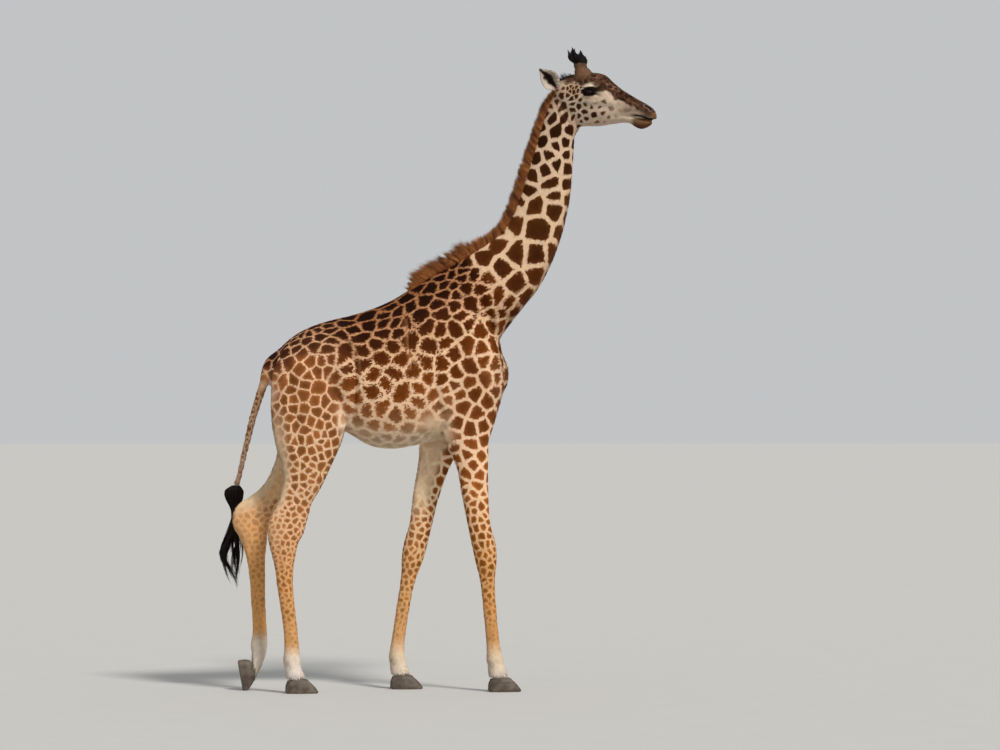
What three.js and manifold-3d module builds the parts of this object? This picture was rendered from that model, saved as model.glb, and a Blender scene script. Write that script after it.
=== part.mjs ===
// A Masai giraffe, life size, standing still on its four feet. Millimetres, +Z up.
// The animal faces +X, its right side is at -Y, and its soles lie on Z = 0. It is laid out
// about the middle plane of its trunk, and last moved to the middle of its own plan.
// The body is lofted through named sections, joined, and parted by thin cuts into the
// pieces a person would name. Each surface is the outer face of the coat.
import * as THREE from "three";
import { mergeVertices } from "three/addons/utils/BufferGeometryUtils.js";
import Module from "manifold-3d";

const wasm = await Module();
wasm.setup();

// ---------------------------------------------------------------- driving dimensions

const CUT = 0.5; // width of each thin cut between two pieces of flesh
const SEAT = 0.8; // gap round a piece that is set into the body

// Trunk sections, rump to breast: x, back height, belly height, half width,
// depth of the widest place as a share of the height, fullness above and below it.
const TRUNK = [
  [-1092, 2135, 1990, 46, 0.5, 2.0, 2.0],
  [-1040, 2203, 1885, 118, 0.5, 2.0, 2.0],
  [-945, 2293, 1820, 188, 0.5, 2.0, 2.0],
  [-830, 2358, 1780, 226, 0.45, 1.8, 2.0],
  [-700, 2402, 1735, 240, 0.48, 1.7, 2.1],
  [-570, 2434, 1665, 252, 0.55, 1.6, 2.3],
  [-440, 2474, 1592, 272, 0.58, 1.6, 2.3],
  [-300, 2534, 1570, 284, 0.6, 1.55, 2.3],
  [-165, 2618, 1588, 280, 0.62, 1.5, 2.3],
  [-40, 2706, 1618, 262, 0.64, 1.5, 2.2],
  [85, 2768, 1662, 236, 0.66, 1.45, 2.0],
  [210, 2735, 1722, 206, 0.66, 1.5, 2.0],
  [315, 2590, 1800, 172, 0.6, 1.8, 2.0],
  [378, 2385, 1870, 132, 0.55, 2.0, 2.0],
  [418, 2200, 1920, 96, 0.5, 2.0, 2.0],
  [458, 2105, 1990, 44, 0.5, 2.0, 2.0],
];

// Neck sections, withers to poll: nape x z, throat x z, half width, share of the depth
// to the widest place, fullness on the nape and throat sides, turn with the head.
const NECK = [
  [-60, 2660, 300, 2100, 150, 0.6, 1.7, 2.0, 0],
  [88, 2770, 418, 2300, 150, 0.6, 1.7, 2.0, 0],
  [220, 2848, 540, 2462, 138, 0.58, 1.7, 2.0, 0],
  [330, 2922, 646, 2592, 124, 0.58, 1.7, 2.0, 0],
  [420, 2996, 737, 2756, 112, 0.56, 1.7, 2.0, 0],
  [482, 3100, 804, 2928, 102, 0.56, 1.7, 2.0, 0],
  [530, 3226, 850, 3103, 94, 0.56, 1.7, 2.0, 0],
  [568, 3350, 877, 3263, 88, 0.55, 1.8, 2.0, 0],
  [602, 3458, 889, 3397, 82, 0.55, 1.8, 2.0, 0],
  [634, 3546, 897, 3511, 77, 0.54, 1.9, 2.0, 0.08],
  [666, 3644, 906, 3612, 74, 0.53, 1.9, 2.0, 0.25],
  [702, 3746, 940, 3668, 72, 0.52, 2.0, 2.0, 0.5],
  [742, 3850, 965, 3720, 71, 0.5, 2.0, 2.0, 0.8],
  [796, 3935, 960, 3810, 66, 0.5, 2.0, 2.0, 1],
];

// The mane: where it starts on the back, its height above the nape at equal steps from
// there to the poll, and the one high clump that stands up over the withers.
const MANE = {
  start: [[-192, 2598], [-62, 2690]],
  heights: [3, 68, 82, 76, 78, 62, 50, 50, 54, 54, 52, 52, 52, 50, 50, 50, 46, 34, 14],
  clump: { at: 0.262, height: 32, width: 0.022 },
  tips: 5,
  halfWidth: 26,
  sink: 26,
};

// Head sections in the head's own frame, whose origin is the poll joint:
// crown u v, underside u v, half width, widest place, fullness above and below.
const HEAD_PIVOT = { x: 850, z: 3880 };
const HEAD_TURN = THREE.MathUtils.degToRad(24);
const SKULL = [
  [-84, 62, -20, -118, 60, 0.45, 2.0, 2.0],
  [-40, 104, 24, -182, 78, 0.42, 2.0, 1.9],
  [26, 126, 78, -208, 90, 0.4, 2.0, 1.8],
  [112, 138, 146, -211, 98, 0.38, 2.1, 1.7],
  [196, 139, 212, -212, 99, 0.38, 2.1, 1.7],
  [258, 123, 258, -208, 86, 0.4, 2.0, 1.8],
  [312, 76, 302, -200, 72, 0.42, 2.0, 1.9],
  [370, 28, 350, -188, 61, 0.46, 2.0, 2.0],
  [431, -11, 412, -172, 55, 0.5, 2.0, 2.1],
  [489, -46, 468, -158, 55, 0.54, 2.0, 2.2],
  [546, -78, 530, -170, 57, 0.55, 2.0, 2.3],
  [584, -108, 576, -178, 48, 0.52, 2.1, 2.2],
  [602, -142, 598, -176, 24, 0.5, 2.0, 2.0],
];
const LOWER_JAW = [
  [250, -120, 246, -204, 50, 0.4, 2.0, 1.8],
  [330, -130, 316, -200, 46, 0.4, 2.0, 1.8],
  [400, -140, 388, -193, 40, 0.4, 2.0, 1.9],
  [446, -148, 430, -201, 37, 0.42, 2.0, 2.0],
  [484, -158, 470, -226, 40, 0.48, 2.0, 2.2],
  [528, -171, 508, -236, 40, 0.5, 2.0, 2.3],
  [560, -179, 556, -218, 30, 0.5, 2.0, 2.0],
  [572, -184, 572, -206, 16, 0.5, 2.0, 2.0],
];
const BROW = { u: 168, side: 70, v: 26, radii: [74, 40, 50] };
const EYE = { u: 178, side: 84, v: 10, radius: 31 };
// Horn: middle line u side v with its thickness, up the skin-covered stem and then up
// the tuft of hair, which starts at one height.
const HORN_TUFT_FROM = 199;
const HORN = [
  [120, 42, 84, 58],
  [116, 46, 116, 46],
  [106, 51, 142, 35],
  [96, 57, 168, 28],
  [88, 65, 196, 26],
  [81, 74, 210, 37],
  [74, 83, 228, 42],
  [69, 88, 248, 38],
  [66, 92, 268, 26],
  [62, 95, 288, 12],
  [60, 97, 304, 3],
];
const EAR = {
  root: [-44, 66, 34],
  tips: { right: [-79, 154, 120], left: [-62, 190, 26] },
  facing: { right: [0.68, 0.63, -0.36], left: [0.86, 0.2, -0.4] },
  length: 212,
  halfWidths: [22, 38, 56, 63, 60, 46, 24, 5],
  thickness: [17, 14, 11, 9, 8, 7, 6, 4],
  cup: 0.62,
};

// Leg profiles at places down the leg: half depth front to back, half width, how far the
// leg's middle is out from the body's middle plane, and the fullness of its back edge
// where that isn't round. Each leg's own line gives x z of its middle at the same places.
const FORE = {
  shape: [
    [60, 26, 74],
    [150, 62, 112],
    [205, 88, 134],
    [222, 96, 142],
    [186, 92, 146],
    [150, 78, 150],
    [112, 66, 153],
    [88, 56, 157],
    [76, 54, 161],
    [78, 61, 164],
    [70, 57, 166],
    [56, 45, 167],
    [48, 38, 168],
    [46, 35, 169],
    [45, 36, 170],
    [47, 45, 170],
    [55, 53, 170],
    [58, 51, 170],
    [63, 60, 170],
  ],
  right: [
    [84, 2570], [118, 2400], [172, 2200], [200, 2010], [190, 1815], [180, 1635], [206, 1500],
    [230, 1270], [257, 1060], [290, 915], [300, 830], [305, 755], [311, 670],
    [321, 545], [333, 415], [345, 290], [354, 212], [364, 158], [382, 92],
  ],
  left: [
    [74, 2570], [104, 2400], [142, 2200], [138, 2010], [98, 1815], [40, 1640], [2, 1495],
    [-56, 1270], [-96, 1060], [-134, 915], [-152, 830], [-167, 755], [-184, 670],
    [-206, 545], [-226, 415], [-243, 290], [-248, 212], [-240, 158], [-222, 92],
  ],
  solePitch: { right: 0, left: 0 },
};
const HIND = {
  shape: [
    [70, 26, 74],
    [188, 84, 106, 1.5],
    [240, 112, 126, 1.5],
    [252, 116, 134, 1.5],
    [236, 108, 138, 1.6],
    [206, 94, 141, 1.7],
    [160, 76, 144, 1.9],
    [130, 63, 147],
    [108, 52, 151],
    [112, 46, 155],
    [122, 49, 158],
    [104, 52, 161],
    [84, 50, 163],
    [66, 43, 165],
    [55, 37, 167],
    [50, 35, 168],
    [48, 35, 169],
    [50, 43, 170],
    [57, 52, 170],
    [57, 50, 170],
    [63, 60, 170],
  ],
  right: [
    [-800, 2310], [-824, 2180], [-842, 2045], [-845, 1885], [-850, 1705], [-858, 1580],
    [-870, 1455], [-890, 1355], [-926, 1255], [-958, 1155], [-993, 1065],
    [-1010, 985], [-1010, 905], [-1007, 820], [-1002, 700], [-987, 570],
    [-970, 440], [-959, 300], [-957, 215], [-950, 155], [-930, 92],
  ],
  left: [
    [-792, 2310], [-812, 2180], [-828, 2045], [-824, 1885], [-822, 1705], [-840, 1590],
    [-890, 1475], [-965, 1350], [-1060, 1245], [-1146, 1170], [-1206, 1112],
    [-1190, 1035], [-1178, 955], [-1170, 870], [-1160, 740], [-1154, 590],
    [-1147, 450], [-1143, 370], [-1148, 298], [-1160, 222], [-1184, 146],
  ],
  solePitch: { right: 0, left: THREE.MathUtils.degToRad(80) },
};

// Cloven hoof: toe and heel x from the foot's middle, height, half width of one claw.
const CLAW = {
  levels: [
    [140, -66, 0, 32],
    [131, -67, 26, 32],
    [104, -66, 60, 31],
    [66, -60, 91.5, 27],
  ],
  out: 34,
  coronet: 92,
};

// Tail: x, y, z of its middle and its half thickness; then the hanging tuft.
const TAIL = [
  [-1010, 0, 2175, 46],
  [-1084, 4, 2120, 40],
  [-1128, 20, 1990, 30],
  [-1166, 62, 1870, 25],
  [-1196, 104, 1760, 23],
  [-1222, 150, 1640, 21],
  [-1250, 205, 1510, 19],
  [-1272, 248, 1400, 18],
  [-1290, 278, 1330, 20],
];
const TAIL_TUFT = [
  [-1294, 284, 1322, 26],
  [-1304, 294, 1292, 60],
  [-1304, 300, 1244, 58],
  [-1300, 306, 1190, 34],
  [-1298, 308, 1140, 22],
  [-1304, 310, 1060, 40],
  [-1312, 312, 985, 62],
  [-1326, 312, 890, 84],
  [-1316, 310, 790, 66],
  [-1296, 308, 700, 40],
  [-1284, 306, 636, 14],
];

// Sides of each loft's sections.
const AROUND = { trunk: 24, neck: 16, head: 16, leg: 12, claw: 10, tail: 8, horn: 8, mane: 6 };

// --------------------------------------------------------------------- shape functions

const up = new THREE.Vector3(0, 0, 1);
const lerp = THREE.MathUtils.lerp;

// A signed power, which makes an ellipse fuller or sharper.
const bent = (value, fullness) => Math.sign(value) * Math.abs(value) ** (2 / fullness);

// One closed section: it spans from head point a to tail point b, and w to each side of y.
function ring(section, sides) {
  const { a, b, y, w, mid, fullA, fullB, turn } = section;
  const centre = a.clone().lerp(b, mid);
  return Array.from({ length: sides }, (_, i) => {
    const angle = (2 * Math.PI * i) / sides;
    const towardsA = Math.cos(angle) >= 0;
    const fullness = towardsA ? fullA : fullB;
    const reach = Math.abs(bent(Math.cos(angle), fullness));
    const point = centre.clone().lerp(towardsA ? a : b, reach);
    point.y = y + w * bent(Math.sin(angle), fullness);
    return turn ? turned(point, turn * HEAD_TURN) : point;
  });
}

// A point of the head or upper neck, turned about the poll joint.
function turned(point, angle) {
  const pivot = new THREE.Vector3(HEAD_PIVOT.x, 0, 0);
  return point.clone().sub(pivot).applyAxisAngle(up, -angle).add(pivot);
}

// A closed mesh through rings of equal count, its ends closed by fans.
function loft(rings) {
  const sides = rings[0].length;
  const points = rings.flat();
  const middle = (r) => r.reduce((sum, p) => sum.add(p), new THREE.Vector3()).divideScalar(sides);
  points.push(middle(rings[0]), middle(rings.at(-1)));
  const first = rings.length * sides;
  const faces = [];
  for (let i = 0; i < sides; i++) {
    const next = (i + 1) % sides;
    for (let r = 0; r < rings.length - 1; r++) {
      const low = r * sides;
      const high = low + sides;
      faces.push(low + i, low + next, high + next, low + i, high + next, high + i);
    }
    const last = (rings.length - 1) * sides;
    faces.push(first, next, i, first + 1, last + i, last + next);
  }
  return outward(points, faces);
}

// A geometry from points and faces, its faces turned outwards.
function outward(points, faces) {
  let volume = 0;
  for (let i = 0; i < faces.length; i += 3) {
    const [a, b, c] = [0, 1, 2].map((k) => points[faces[i + k]]);
    volume += a.dot(b.clone().cross(c));
  }
  const index = volume < 0 ? faces.toReversed() : faces;
  const geometry = new THREE.BufferGeometry().setFromPoints(points);
  return geometry.setIndex(index);
}

function solid(geometry) {
  const bare = geometry.clone();
  bare.deleteAttribute("normal");
  bare.deleteAttribute("uv");
  const merged = mergeVertices(bare, 1e-3);
  return new wasm.Manifold(
    new wasm.Mesh({
      numProp: 3,
      vertProperties: merged.attributes.position.array,
      triVerts: new Uint32Array(merged.index.array),
    }),
  );
}

const union = (solids) => solids.reduce((sum, next) => sum.add(next));
const vec = (x, y, z) => new THREE.Vector3(x, y, z);

// A section from its numbers; grow moves the surface outwards by that many millimetres.
function section(ax, az, bx, bz, w, mid, fullA, fullB, grow = 0, y = 0, turn = 0) {
  const a = vec(ax, 0, az);
  const b = vec(bx, 0, bz);
  const out = a.clone().sub(b).setLength(grow);
  return { a: a.add(out), b: b.sub(out), y, w: w + grow, mid, fullA, fullB, turn };
}

// ------------------------------------------------------------------------- body lofts

function trunk(grow) {
  const sections = TRUNK.map(([x, top, low, w, mid, above, below]) =>
    section(x, top, x, low, w, mid, above, below, grow),
  );
  return solid(loft(sections.map((s) => ring(s, AROUND.trunk))));
}

function neck(grow) {
  const sections = NECK.map(([ax, az, bx, bz, w, mid, nape, throat, turn]) =>
    section(ax, az, bx, bz, w, mid, nape, throat, grow, 0, turn),
  );
  return solid(loft(sections.map((s) => ring(s, AROUND.neck))));
}

// A head section, in the head's frame, placed at the poll joint and turned.
function headLoft(table, grow) {
  const { x, z } = HEAD_PIVOT;
  const sections = table.map(([au, av, bu, bv, w, mid, above, below]) =>
    section(x + au, z + av, x + bu, z + bv, w, mid, above, below, grow, 0, 1),
  );
  return solid(loft(sections.map((s) => ring(s, AROUND.head))));
}

// A point given in the head's frame, u forward, side to the animal's left, v up.
const headPoint = (u, side, v) =>
  turned(vec(HEAD_PIVOT.x + u, side, HEAD_PIVOT.z + v), HEAD_TURN);

function ball(centre, radii, across, high) {
  const shape = new THREE.SphereGeometry(1, across, high).rotateX(Math.PI / 2);
  return shape.scale(...radii).rotateZ(-HEAD_TURN).translate(centre.x, centre.y, centre.z);
}

const SIDES = { right: -1, left: 1 };

function head(grow) {
  const brows = Object.values(SIDES).map((side) => {
    const centre = headPoint(BROW.u, side * BROW.side, BROW.v);
    return solid(ball(centre, BROW.radii.map((r) => r + grow), 12, 6));
  });
  return union([headLoft(SKULL, grow), headLoft(LOWER_JAW, grow), ...brows]);
}

// A leg lofted down its line of middles. Each section lies square to the line, and the
// last one lies on top of the hoof, whose sole is pitched where the foot trails.
function leg(kind, name, grow) {
  const line = kind[name].map(([x, z]) => vec(x, 0, z));
  const last = line.length - 1;
  const pitch = kind.solePitch[name];
  const alongSole = vec(Math.cos(pitch), 0, -Math.sin(pitch));
  const rings = kind.shape.map(([depth, width, out, backFullness = 2], i) => {
    const ahead = line[Math.min(i + 1, last)];
    const behind = line[Math.max(i - 1, 0)];
    const run = ahead.clone().sub(behind).normalize();
    const square = vec(-run.z, 0, run.x);
    const towardsSole = Math.max(0, (i - last + 2) / 2);
    const forward = square.lerp(alongSole, towardsSole).normalize();
    const front = line[i].clone().addScaledVector(forward, depth + grow);
    const back = line[i].clone().addScaledVector(forward, -depth - grow);
    const shape = { a: front, b: back, y: SIDES[name] * out, w: width + grow };
    return ring({ ...shape, mid: 0.5, fullA: 2, fullB: backFullness, turn: 0 }, AROUND.leg);
  });
  return solid(loft(rings));
}

// A tube of round sections along a line of [x, y, z, radius].
function tube(line, flatten = 1, sides = AROUND.tail) {
  const at = line.map(([x, y, z]) => vec(x, y, z));
  const rings = line.map(([, , , radius], i) => {
    const ahead = at[Math.min(i + 1, at.length - 1)];
    const behind = at[Math.max(i - 1, 0)];
    const run = ahead.clone().sub(behind).normalize();
    const across = vec(0, 1, 0).cross(run).normalize();
    const over = run.clone().cross(across);
    return Array.from({ length: sides }, (_, k) => {
      const angle = (2 * Math.PI * k) / sides;
      const point = at[i].clone().addScaledVector(across, radius * Math.cos(angle));
      return point.addScaledVector(over, flatten * radius * Math.sin(angle));
    });
  });
  return solid(loft(rings));
}

// The standing mane: a thin ridge along the nape whose crest is ragged.
function mane() {
  const points = [...MANE.start, ...NECK.slice(1)];
  const nape = new THREE.CatmullRomCurve3(points.map(([x, z]) => vec(x, 0, z)));
  const last = MANE.heights.length - 1;
  const steps = 2 * last;
  const rings = Array.from({ length: steps + 1 }, (_, i) => {
    const share = i / steps;
    const root = nape.getPointAt(share);
    const run = nape.getTangentAt(share);
    const out = vec(-run.z, 0, run.x);
    const before = Math.floor(i / 2);
    const even = lerp(MANE.heights[before], MANE.heights[Math.min(before + 1, last)], (i % 2) / 2);
    const inClump = Math.exp(-(((share - MANE.clump.at) / MANE.clump.width) ** 2));
    const tip = i % 2 ? MANE.tips : -MANE.tips;
    const height = Math.max(even + tip + MANE.clump.height * inClump, 3);
    const a = root.clone().addScaledVector(out, height);
    const b = root.clone().addScaledVector(out, -MANE.sink);
    const turn = THREE.MathUtils.smoothstep(share, 0.76, 1) * 0.9;
    const w = MANE.halfWidth * THREE.MathUtils.smoothstep(share, -0.06, 0.06);
    return ring({ a, b, y: 0, w, mid: 0.7, fullA: 1.35, fullB: 2, turn }, AROUND.mane);
  });
  return solid(loft(rings));
}

// A whole horn, with its tuft.
function horn(side) {
  const line = HORN.map(([u, out, v, radius]) => [...headPoint(u, side * out, v), radius]);
  return tube(line, 1, AROUND.horn);
}

// A cupped leaf: each section is a flat oval, bowed towards the ear's open side.
function ear(name) {
  const side = SIDES[name];
  const root = headPoint(EAR.root[0], side * EAR.root[1], EAR.root[2]);
  const aim = ([u, s, v]) => headPoint(u, side * s, v).sub(headPoint(0, 0, 0));
  const axis = aim(EAR.tips[name]).normalize();
  const facing = aim(EAR.facing[name]);
  facing.addScaledVector(axis, -facing.dot(axis)).normalize();
  const across = axis.clone().cross(facing);
  const last = EAR.halfWidths.length - 1;
  const rings = EAR.halfWidths.map((width, i) => {
    const share = i / last;
    const middle = root.clone().addScaledVector(axis, EAR.length * share);
    const bow = EAR.cup * width * Math.sin(Math.PI * Math.min(1, 0.25 + share * 0.75));
    return Array.from({ length: 12 }, (_, k) => {
      const angle = (2 * Math.PI * k) / 12;
      const across1 = Math.cos(angle);
      const lift = EAR.thickness[i] * Math.sin(angle) + bow * (across1 ** 2 - 0.5);
      return middle.clone().addScaledVector(across, width * across1).addScaledVector(facing, lift);
    });
  });
  return solid(loft(rings));
}

// One claw of a cloven hoof, hung from the middle of its leg's last section.
function claw(footX, footY, footZ, inOrOut, pitch) {
  const rings = CLAW.levels.map(([toe, heel, z, w]) => {
    const shape = { a: vec(toe, 0, z), b: vec(heel, 0, z), y: inOrOut * CLAW.out, w };
    return ring({ ...shape, mid: 0.52, fullA: 1.7, fullB: 2.2, turn: 0 }, AROUND.claw);
  });
  const shape = loft(rings).translate(0, 0, -CLAW.coronet).rotateY(pitch);
  return shape.translate(footX, footY, footZ);
}

// A box from its low and high corners.
function block(low, high) {
  const size = high.map((value, i) => value - low[i]);
  const shape = new THREE.BoxGeometry(...size);
  return shape.translate(...low.map((value, i) => value + size[i] / 2));
}

// A large box on the far side of the line from a to b in the XZ plane, back by gap.
function beyond(ax, az, bx, bz, gap, reach = 700) {
  const along = vec(bx - ax, 0, bz - az);
  const angle = Math.atan2(along.z, along.x);
  const shape = new THREE.BoxGeometry(2 * reach, 2 * reach, 2 * reach);
  shape.translate(0, 0, reach + gap).rotateY(-angle);
  return solid(shape.translate((ax + bx) / 2, 0, (az + bz) / 2));
}

// ------------------------------------------------------------------- joining and parting

const LEG_KINDS = { fore: FORE, hind: HIND };
const LEG_NAMES = ["fore", "hind"].flatMap((kind) => Object.keys(SIDES).map((s) => [kind, s]));

function wholeBody(grow) {
  const legs = LEG_NAMES.map(([kind, side]) => leg(LEG_KINDS[kind], side, grow));
  return union([trunk(grow), neck(grow), head(grow), ...legs]);
}

const grown = wholeBody(SEAT);
const pieces = new Map();
let body = wholeBody(0);

// The largest body of a solid, which drops slivers that a cut leaves.
function largest(shape) {
  return shape.decompose().reduce((best, next) => (next.volume() > best.volume() ? next : best));
}

// Takes the part of the body inside one region, and parts it from the rest by a thin cut.
function take(name, region, widerRegion) {
  pieces.set(name, largest(body.intersect(region)));
  body = body.subtract(widerRegion);
}

// Eyes are balls in sockets.
for (const [side, sign] of Object.entries(SIDES)) {
  const centre = headPoint(EYE.u, sign * EYE.side, EYE.v);
  const radii = (r) => [r, r, r];
  pieces.set("eye_" + side, solid(ball(centre, radii(EYE.radius), 14, 8)));
  body = body.subtract(solid(ball(centre, radii(EYE.radius + SEAT), 14, 8)));
}

// The mouth is a thin slit between the lips.
const MOUTH = { from: [430, -147], to: [620, -182], height: 2 };
const mouthAngle = Math.atan2(MOUTH.to[1] - MOUTH.from[1], MOUTH.to[0] - MOUTH.from[0]);
const mouthLength = Math.hypot(MOUTH.to[0] - MOUTH.from[0], MOUTH.to[1] - MOUTH.from[1]);
const lipSlit = (side) => {
  const slit = new THREE.BoxGeometry(mouthLength, 60, MOUTH.height);
  slit.translate(mouthLength / 2, side * 58, 0).rotateY(-mouthAngle);
  slit.translate(HEAD_PIVOT.x + MOUTH.from[0], 0, HEAD_PIVOT.z + MOUTH.from[1]);
  const pivot = HEAD_PIVOT.x;
  return solid(slit.translate(-pivot, 0, 0).rotateZ(-HEAD_TURN).translate(pivot, 0, 0));
};
body = body.subtract(lipSlit(-1)).subtract(lipSlit(1));

// Head and neck, cut across the neck from the top down.
const NECK_CUTS = [
  ["head", [716, 3900, 960, 3690]],
  ["neck_upper", [566, 3400, 900, 3290]],
  ["neck_middle", [440, 3060, 810, 2830]],
  ["neck_lower", [20, 2790, 450, 2300]],
];
for (const [name, line] of NECK_CUTS) take(name, beyond(...line, CUT), beyond(...line, 0));

// Legs: each is cut below the trunk, at the knee or hock and above the fetlock.
const LEG_CUTS = {
  fore: { x: [-540, 620], cuts: [["cannon", 870], ["foot", 300]], top: 1562 },
  hind: { x: [-1460, -562], cuts: [["cannon", 1010], ["foot", 370]], top: 1640 },
};
for (const [kind, side] of LEG_NAMES) {
  const { x, cuts, top } = LEG_CUTS[kind];
  const y = side === "left" ? [1, 400] : [-400, -1];
  const limits = [...cuts.map(([, z]) => z).toReversed(), top];
  const names = [...cuts.map(([name]) => name).toReversed(), "upper"];
  limits.forEach((z, i) => {
    const region = (height) => solid(block([x[0], y[0], -50], [x[1], y[1], height]));
    take(`leg_${kind}_${side}_${names[i]}`, region(z - CUT), region(z));
  });
}

pieces.set("trunk", largest(body));

// The tail hangs in two lengths, parted at one height.
const TAIL_PARTING = 1660;
const tail = tube(TAIL).subtract(grown);
const tailBelow = (height) => solid(block([-1500, -100, 1000], [-900, 500, height]));
pieces.set("tail_lower", largest(tail.intersect(tailBelow(TAIL_PARTING - CUT))));
pieces.set("tail_upper", largest(tail.subtract(tailBelow(TAIL_PARTING))));

// Pieces set against the coat: mane, horns, ears and the tail's tuft.
const maneParts = mane().subtract(grown);
const maneCut = NECK_CUTS[2][1];
pieces.set("mane_upper", largest(maneParts.intersect(beyond(...maneCut, CUT))));
pieces.set("mane_lower", largest(maneParts.subtract(beyond(...maneCut, 0))));

for (const [side, sign] of Object.entries(SIDES)) {
  const outside = largest(horn(sign).subtract(grown));
  const tuftBase = HEAD_PIVOT.z + HORN_TUFT_FROM;
  const below = (height) => solid(block([600, -400, 3800], [1200, 400, height]));
  pieces.set("horn_" + side, outside.intersect(below(tuftBase - CUT)));
  pieces.set("horn_tuft_" + side, outside.subtract(below(tuftBase)));
  pieces.set("ear_" + side, largest(ear(side).subtract(grown)));
}
const tuftTop = (height) => solid(block([-1500, 100, 300], [-1100, 500, height]));
pieces.set("tail_tuft", tube(TAIL_TUFT, 0.75, AROUND.claw).intersect(tuftTop(1318)));

// Hooves: two claws to a foot, flat on the ground, the trailing hind one on its toe.
const ground = solid(block([-2000, -800, 0], [2000, 800, 400]));
for (const [kind, side] of LEG_NAMES) {
  const [x, z] = LEG_KINDS[kind][side].at(-1);
  const y = SIDES[side] * LEG_KINDS[kind].shape.at(-1)[2];
  const pitch = LEG_KINDS[kind].solePitch[side];
  for (const [place, inOrOut] of [["outer", SIDES[side]], ["inner", -SIDES[side]]]) {
    const shape = solid(claw(x, y, z, inOrOut, pitch)).intersect(ground);
    pieces.set(`hoof_${kind}_${side}_${place}`, shape.subtract(grown));
  }
}

// --------------------------------------------------------------------- scene graph

const FINISH = {
  coat: { color: "#9a6a3e", roughness: 0.8 },
  mane: { color: "#8a4a22", roughness: 0.85 },
  black_hair: { color: "#15110f", roughness: 0.7 },
  horn_skin: { color: "#8d6a4a", roughness: 0.8 },
  eye: { color: "#0d0907", roughness: 0.1 },
  hoof: { color: "#5d5046", roughness: 0.6 },
};
const finishOf = (name) => {
  if (name.startsWith("eye")) return FINISH.eye;
  if (name.startsWith("hoof")) return FINISH.hoof;
  if (name.startsWith("mane")) return FINISH.mane;
  if (name.includes("tuft")) return FINISH.black_hair;
  return name.startsWith("horn") ? FINISH.horn_skin : FINISH.coat;
};

const giraffe = new THREE.Group();
for (const [name, shape] of pieces) {
  const mesh = shape.getMesh();
  const geometry = new THREE.BufferGeometry();
  geometry.setAttribute("position", new THREE.BufferAttribute(mesh.vertProperties, 3));
  geometry.setIndex(new THREE.BufferAttribute(mesh.triVerts, 1));
  const material = new THREE.MeshStandardMaterial({ ...finishOf(name), metalness: 0 });
  const node = new THREE.Mesh(geometry, material);
  node.name = name;
  giraffe.add(node);
}

const plan = new THREE.Box3().setFromObject(giraffe).getCenter(new THREE.Vector3());
giraffe.position.set(-plan.x, -plan.y, 0);

export default giraffe;
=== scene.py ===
import itertools
import math

import bpy
import numpy as np
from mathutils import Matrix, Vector, noise


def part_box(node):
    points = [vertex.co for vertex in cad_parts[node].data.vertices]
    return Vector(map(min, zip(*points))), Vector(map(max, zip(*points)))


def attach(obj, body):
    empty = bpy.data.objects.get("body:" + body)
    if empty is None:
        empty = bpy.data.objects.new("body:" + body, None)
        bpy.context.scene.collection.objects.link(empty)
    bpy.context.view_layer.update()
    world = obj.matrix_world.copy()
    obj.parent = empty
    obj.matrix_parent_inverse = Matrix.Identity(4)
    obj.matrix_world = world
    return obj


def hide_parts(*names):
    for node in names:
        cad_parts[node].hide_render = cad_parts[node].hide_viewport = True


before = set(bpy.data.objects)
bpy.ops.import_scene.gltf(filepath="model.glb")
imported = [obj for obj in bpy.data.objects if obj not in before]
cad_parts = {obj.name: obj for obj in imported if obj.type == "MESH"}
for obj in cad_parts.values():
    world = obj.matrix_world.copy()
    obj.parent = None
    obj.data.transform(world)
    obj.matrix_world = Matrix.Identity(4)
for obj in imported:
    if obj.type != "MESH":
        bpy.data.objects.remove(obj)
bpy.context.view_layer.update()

MM = 0.001
COAT_DEPTH = 3.0  # how far the skin lies inside the outer face of the coat
SIDES = {"right": -1, "left": 1}
random = np.random.default_rng(7)

# ------------------------------------------------------------------ sections of the body

# Rump to breast: x, back height, belly height, half width, share of the height down to the
# widest place, fullness above and below it.
TRUNK = [
    [-1092, 2135, 1990, 46, 0.5, 2, 2], [-1040, 2203, 1885, 118, 0.5, 2, 2],
    [-945, 2293, 1820, 188, 0.5, 2, 2], [-830, 2358, 1780, 226, 0.45, 1.8, 2],
    [-700, 2402, 1735, 240, 0.48, 1.7, 2.1], [-570, 2434, 1665, 252, 0.55, 1.6, 2.3],
    [-440, 2474, 1592, 272, 0.58, 1.6, 2.3], [-300, 2534, 1570, 284, 0.6, 1.55, 2.3],
    [-165, 2618, 1588, 280, 0.62, 1.5, 2.3], [-40, 2706, 1618, 262, 0.64, 1.5, 2.2],
    [85, 2768, 1662, 236, 0.66, 1.45, 2], [210, 2735, 1722, 206, 0.66, 1.5, 2],
    [315, 2590, 1800, 172, 0.6, 1.8, 2], [378, 2385, 1870, 132, 0.55, 2, 2],
    [418, 2200, 1920, 96, 0.5, 2, 2], [458, 2105, 1990, 44, 0.5, 2, 2],
]
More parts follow.
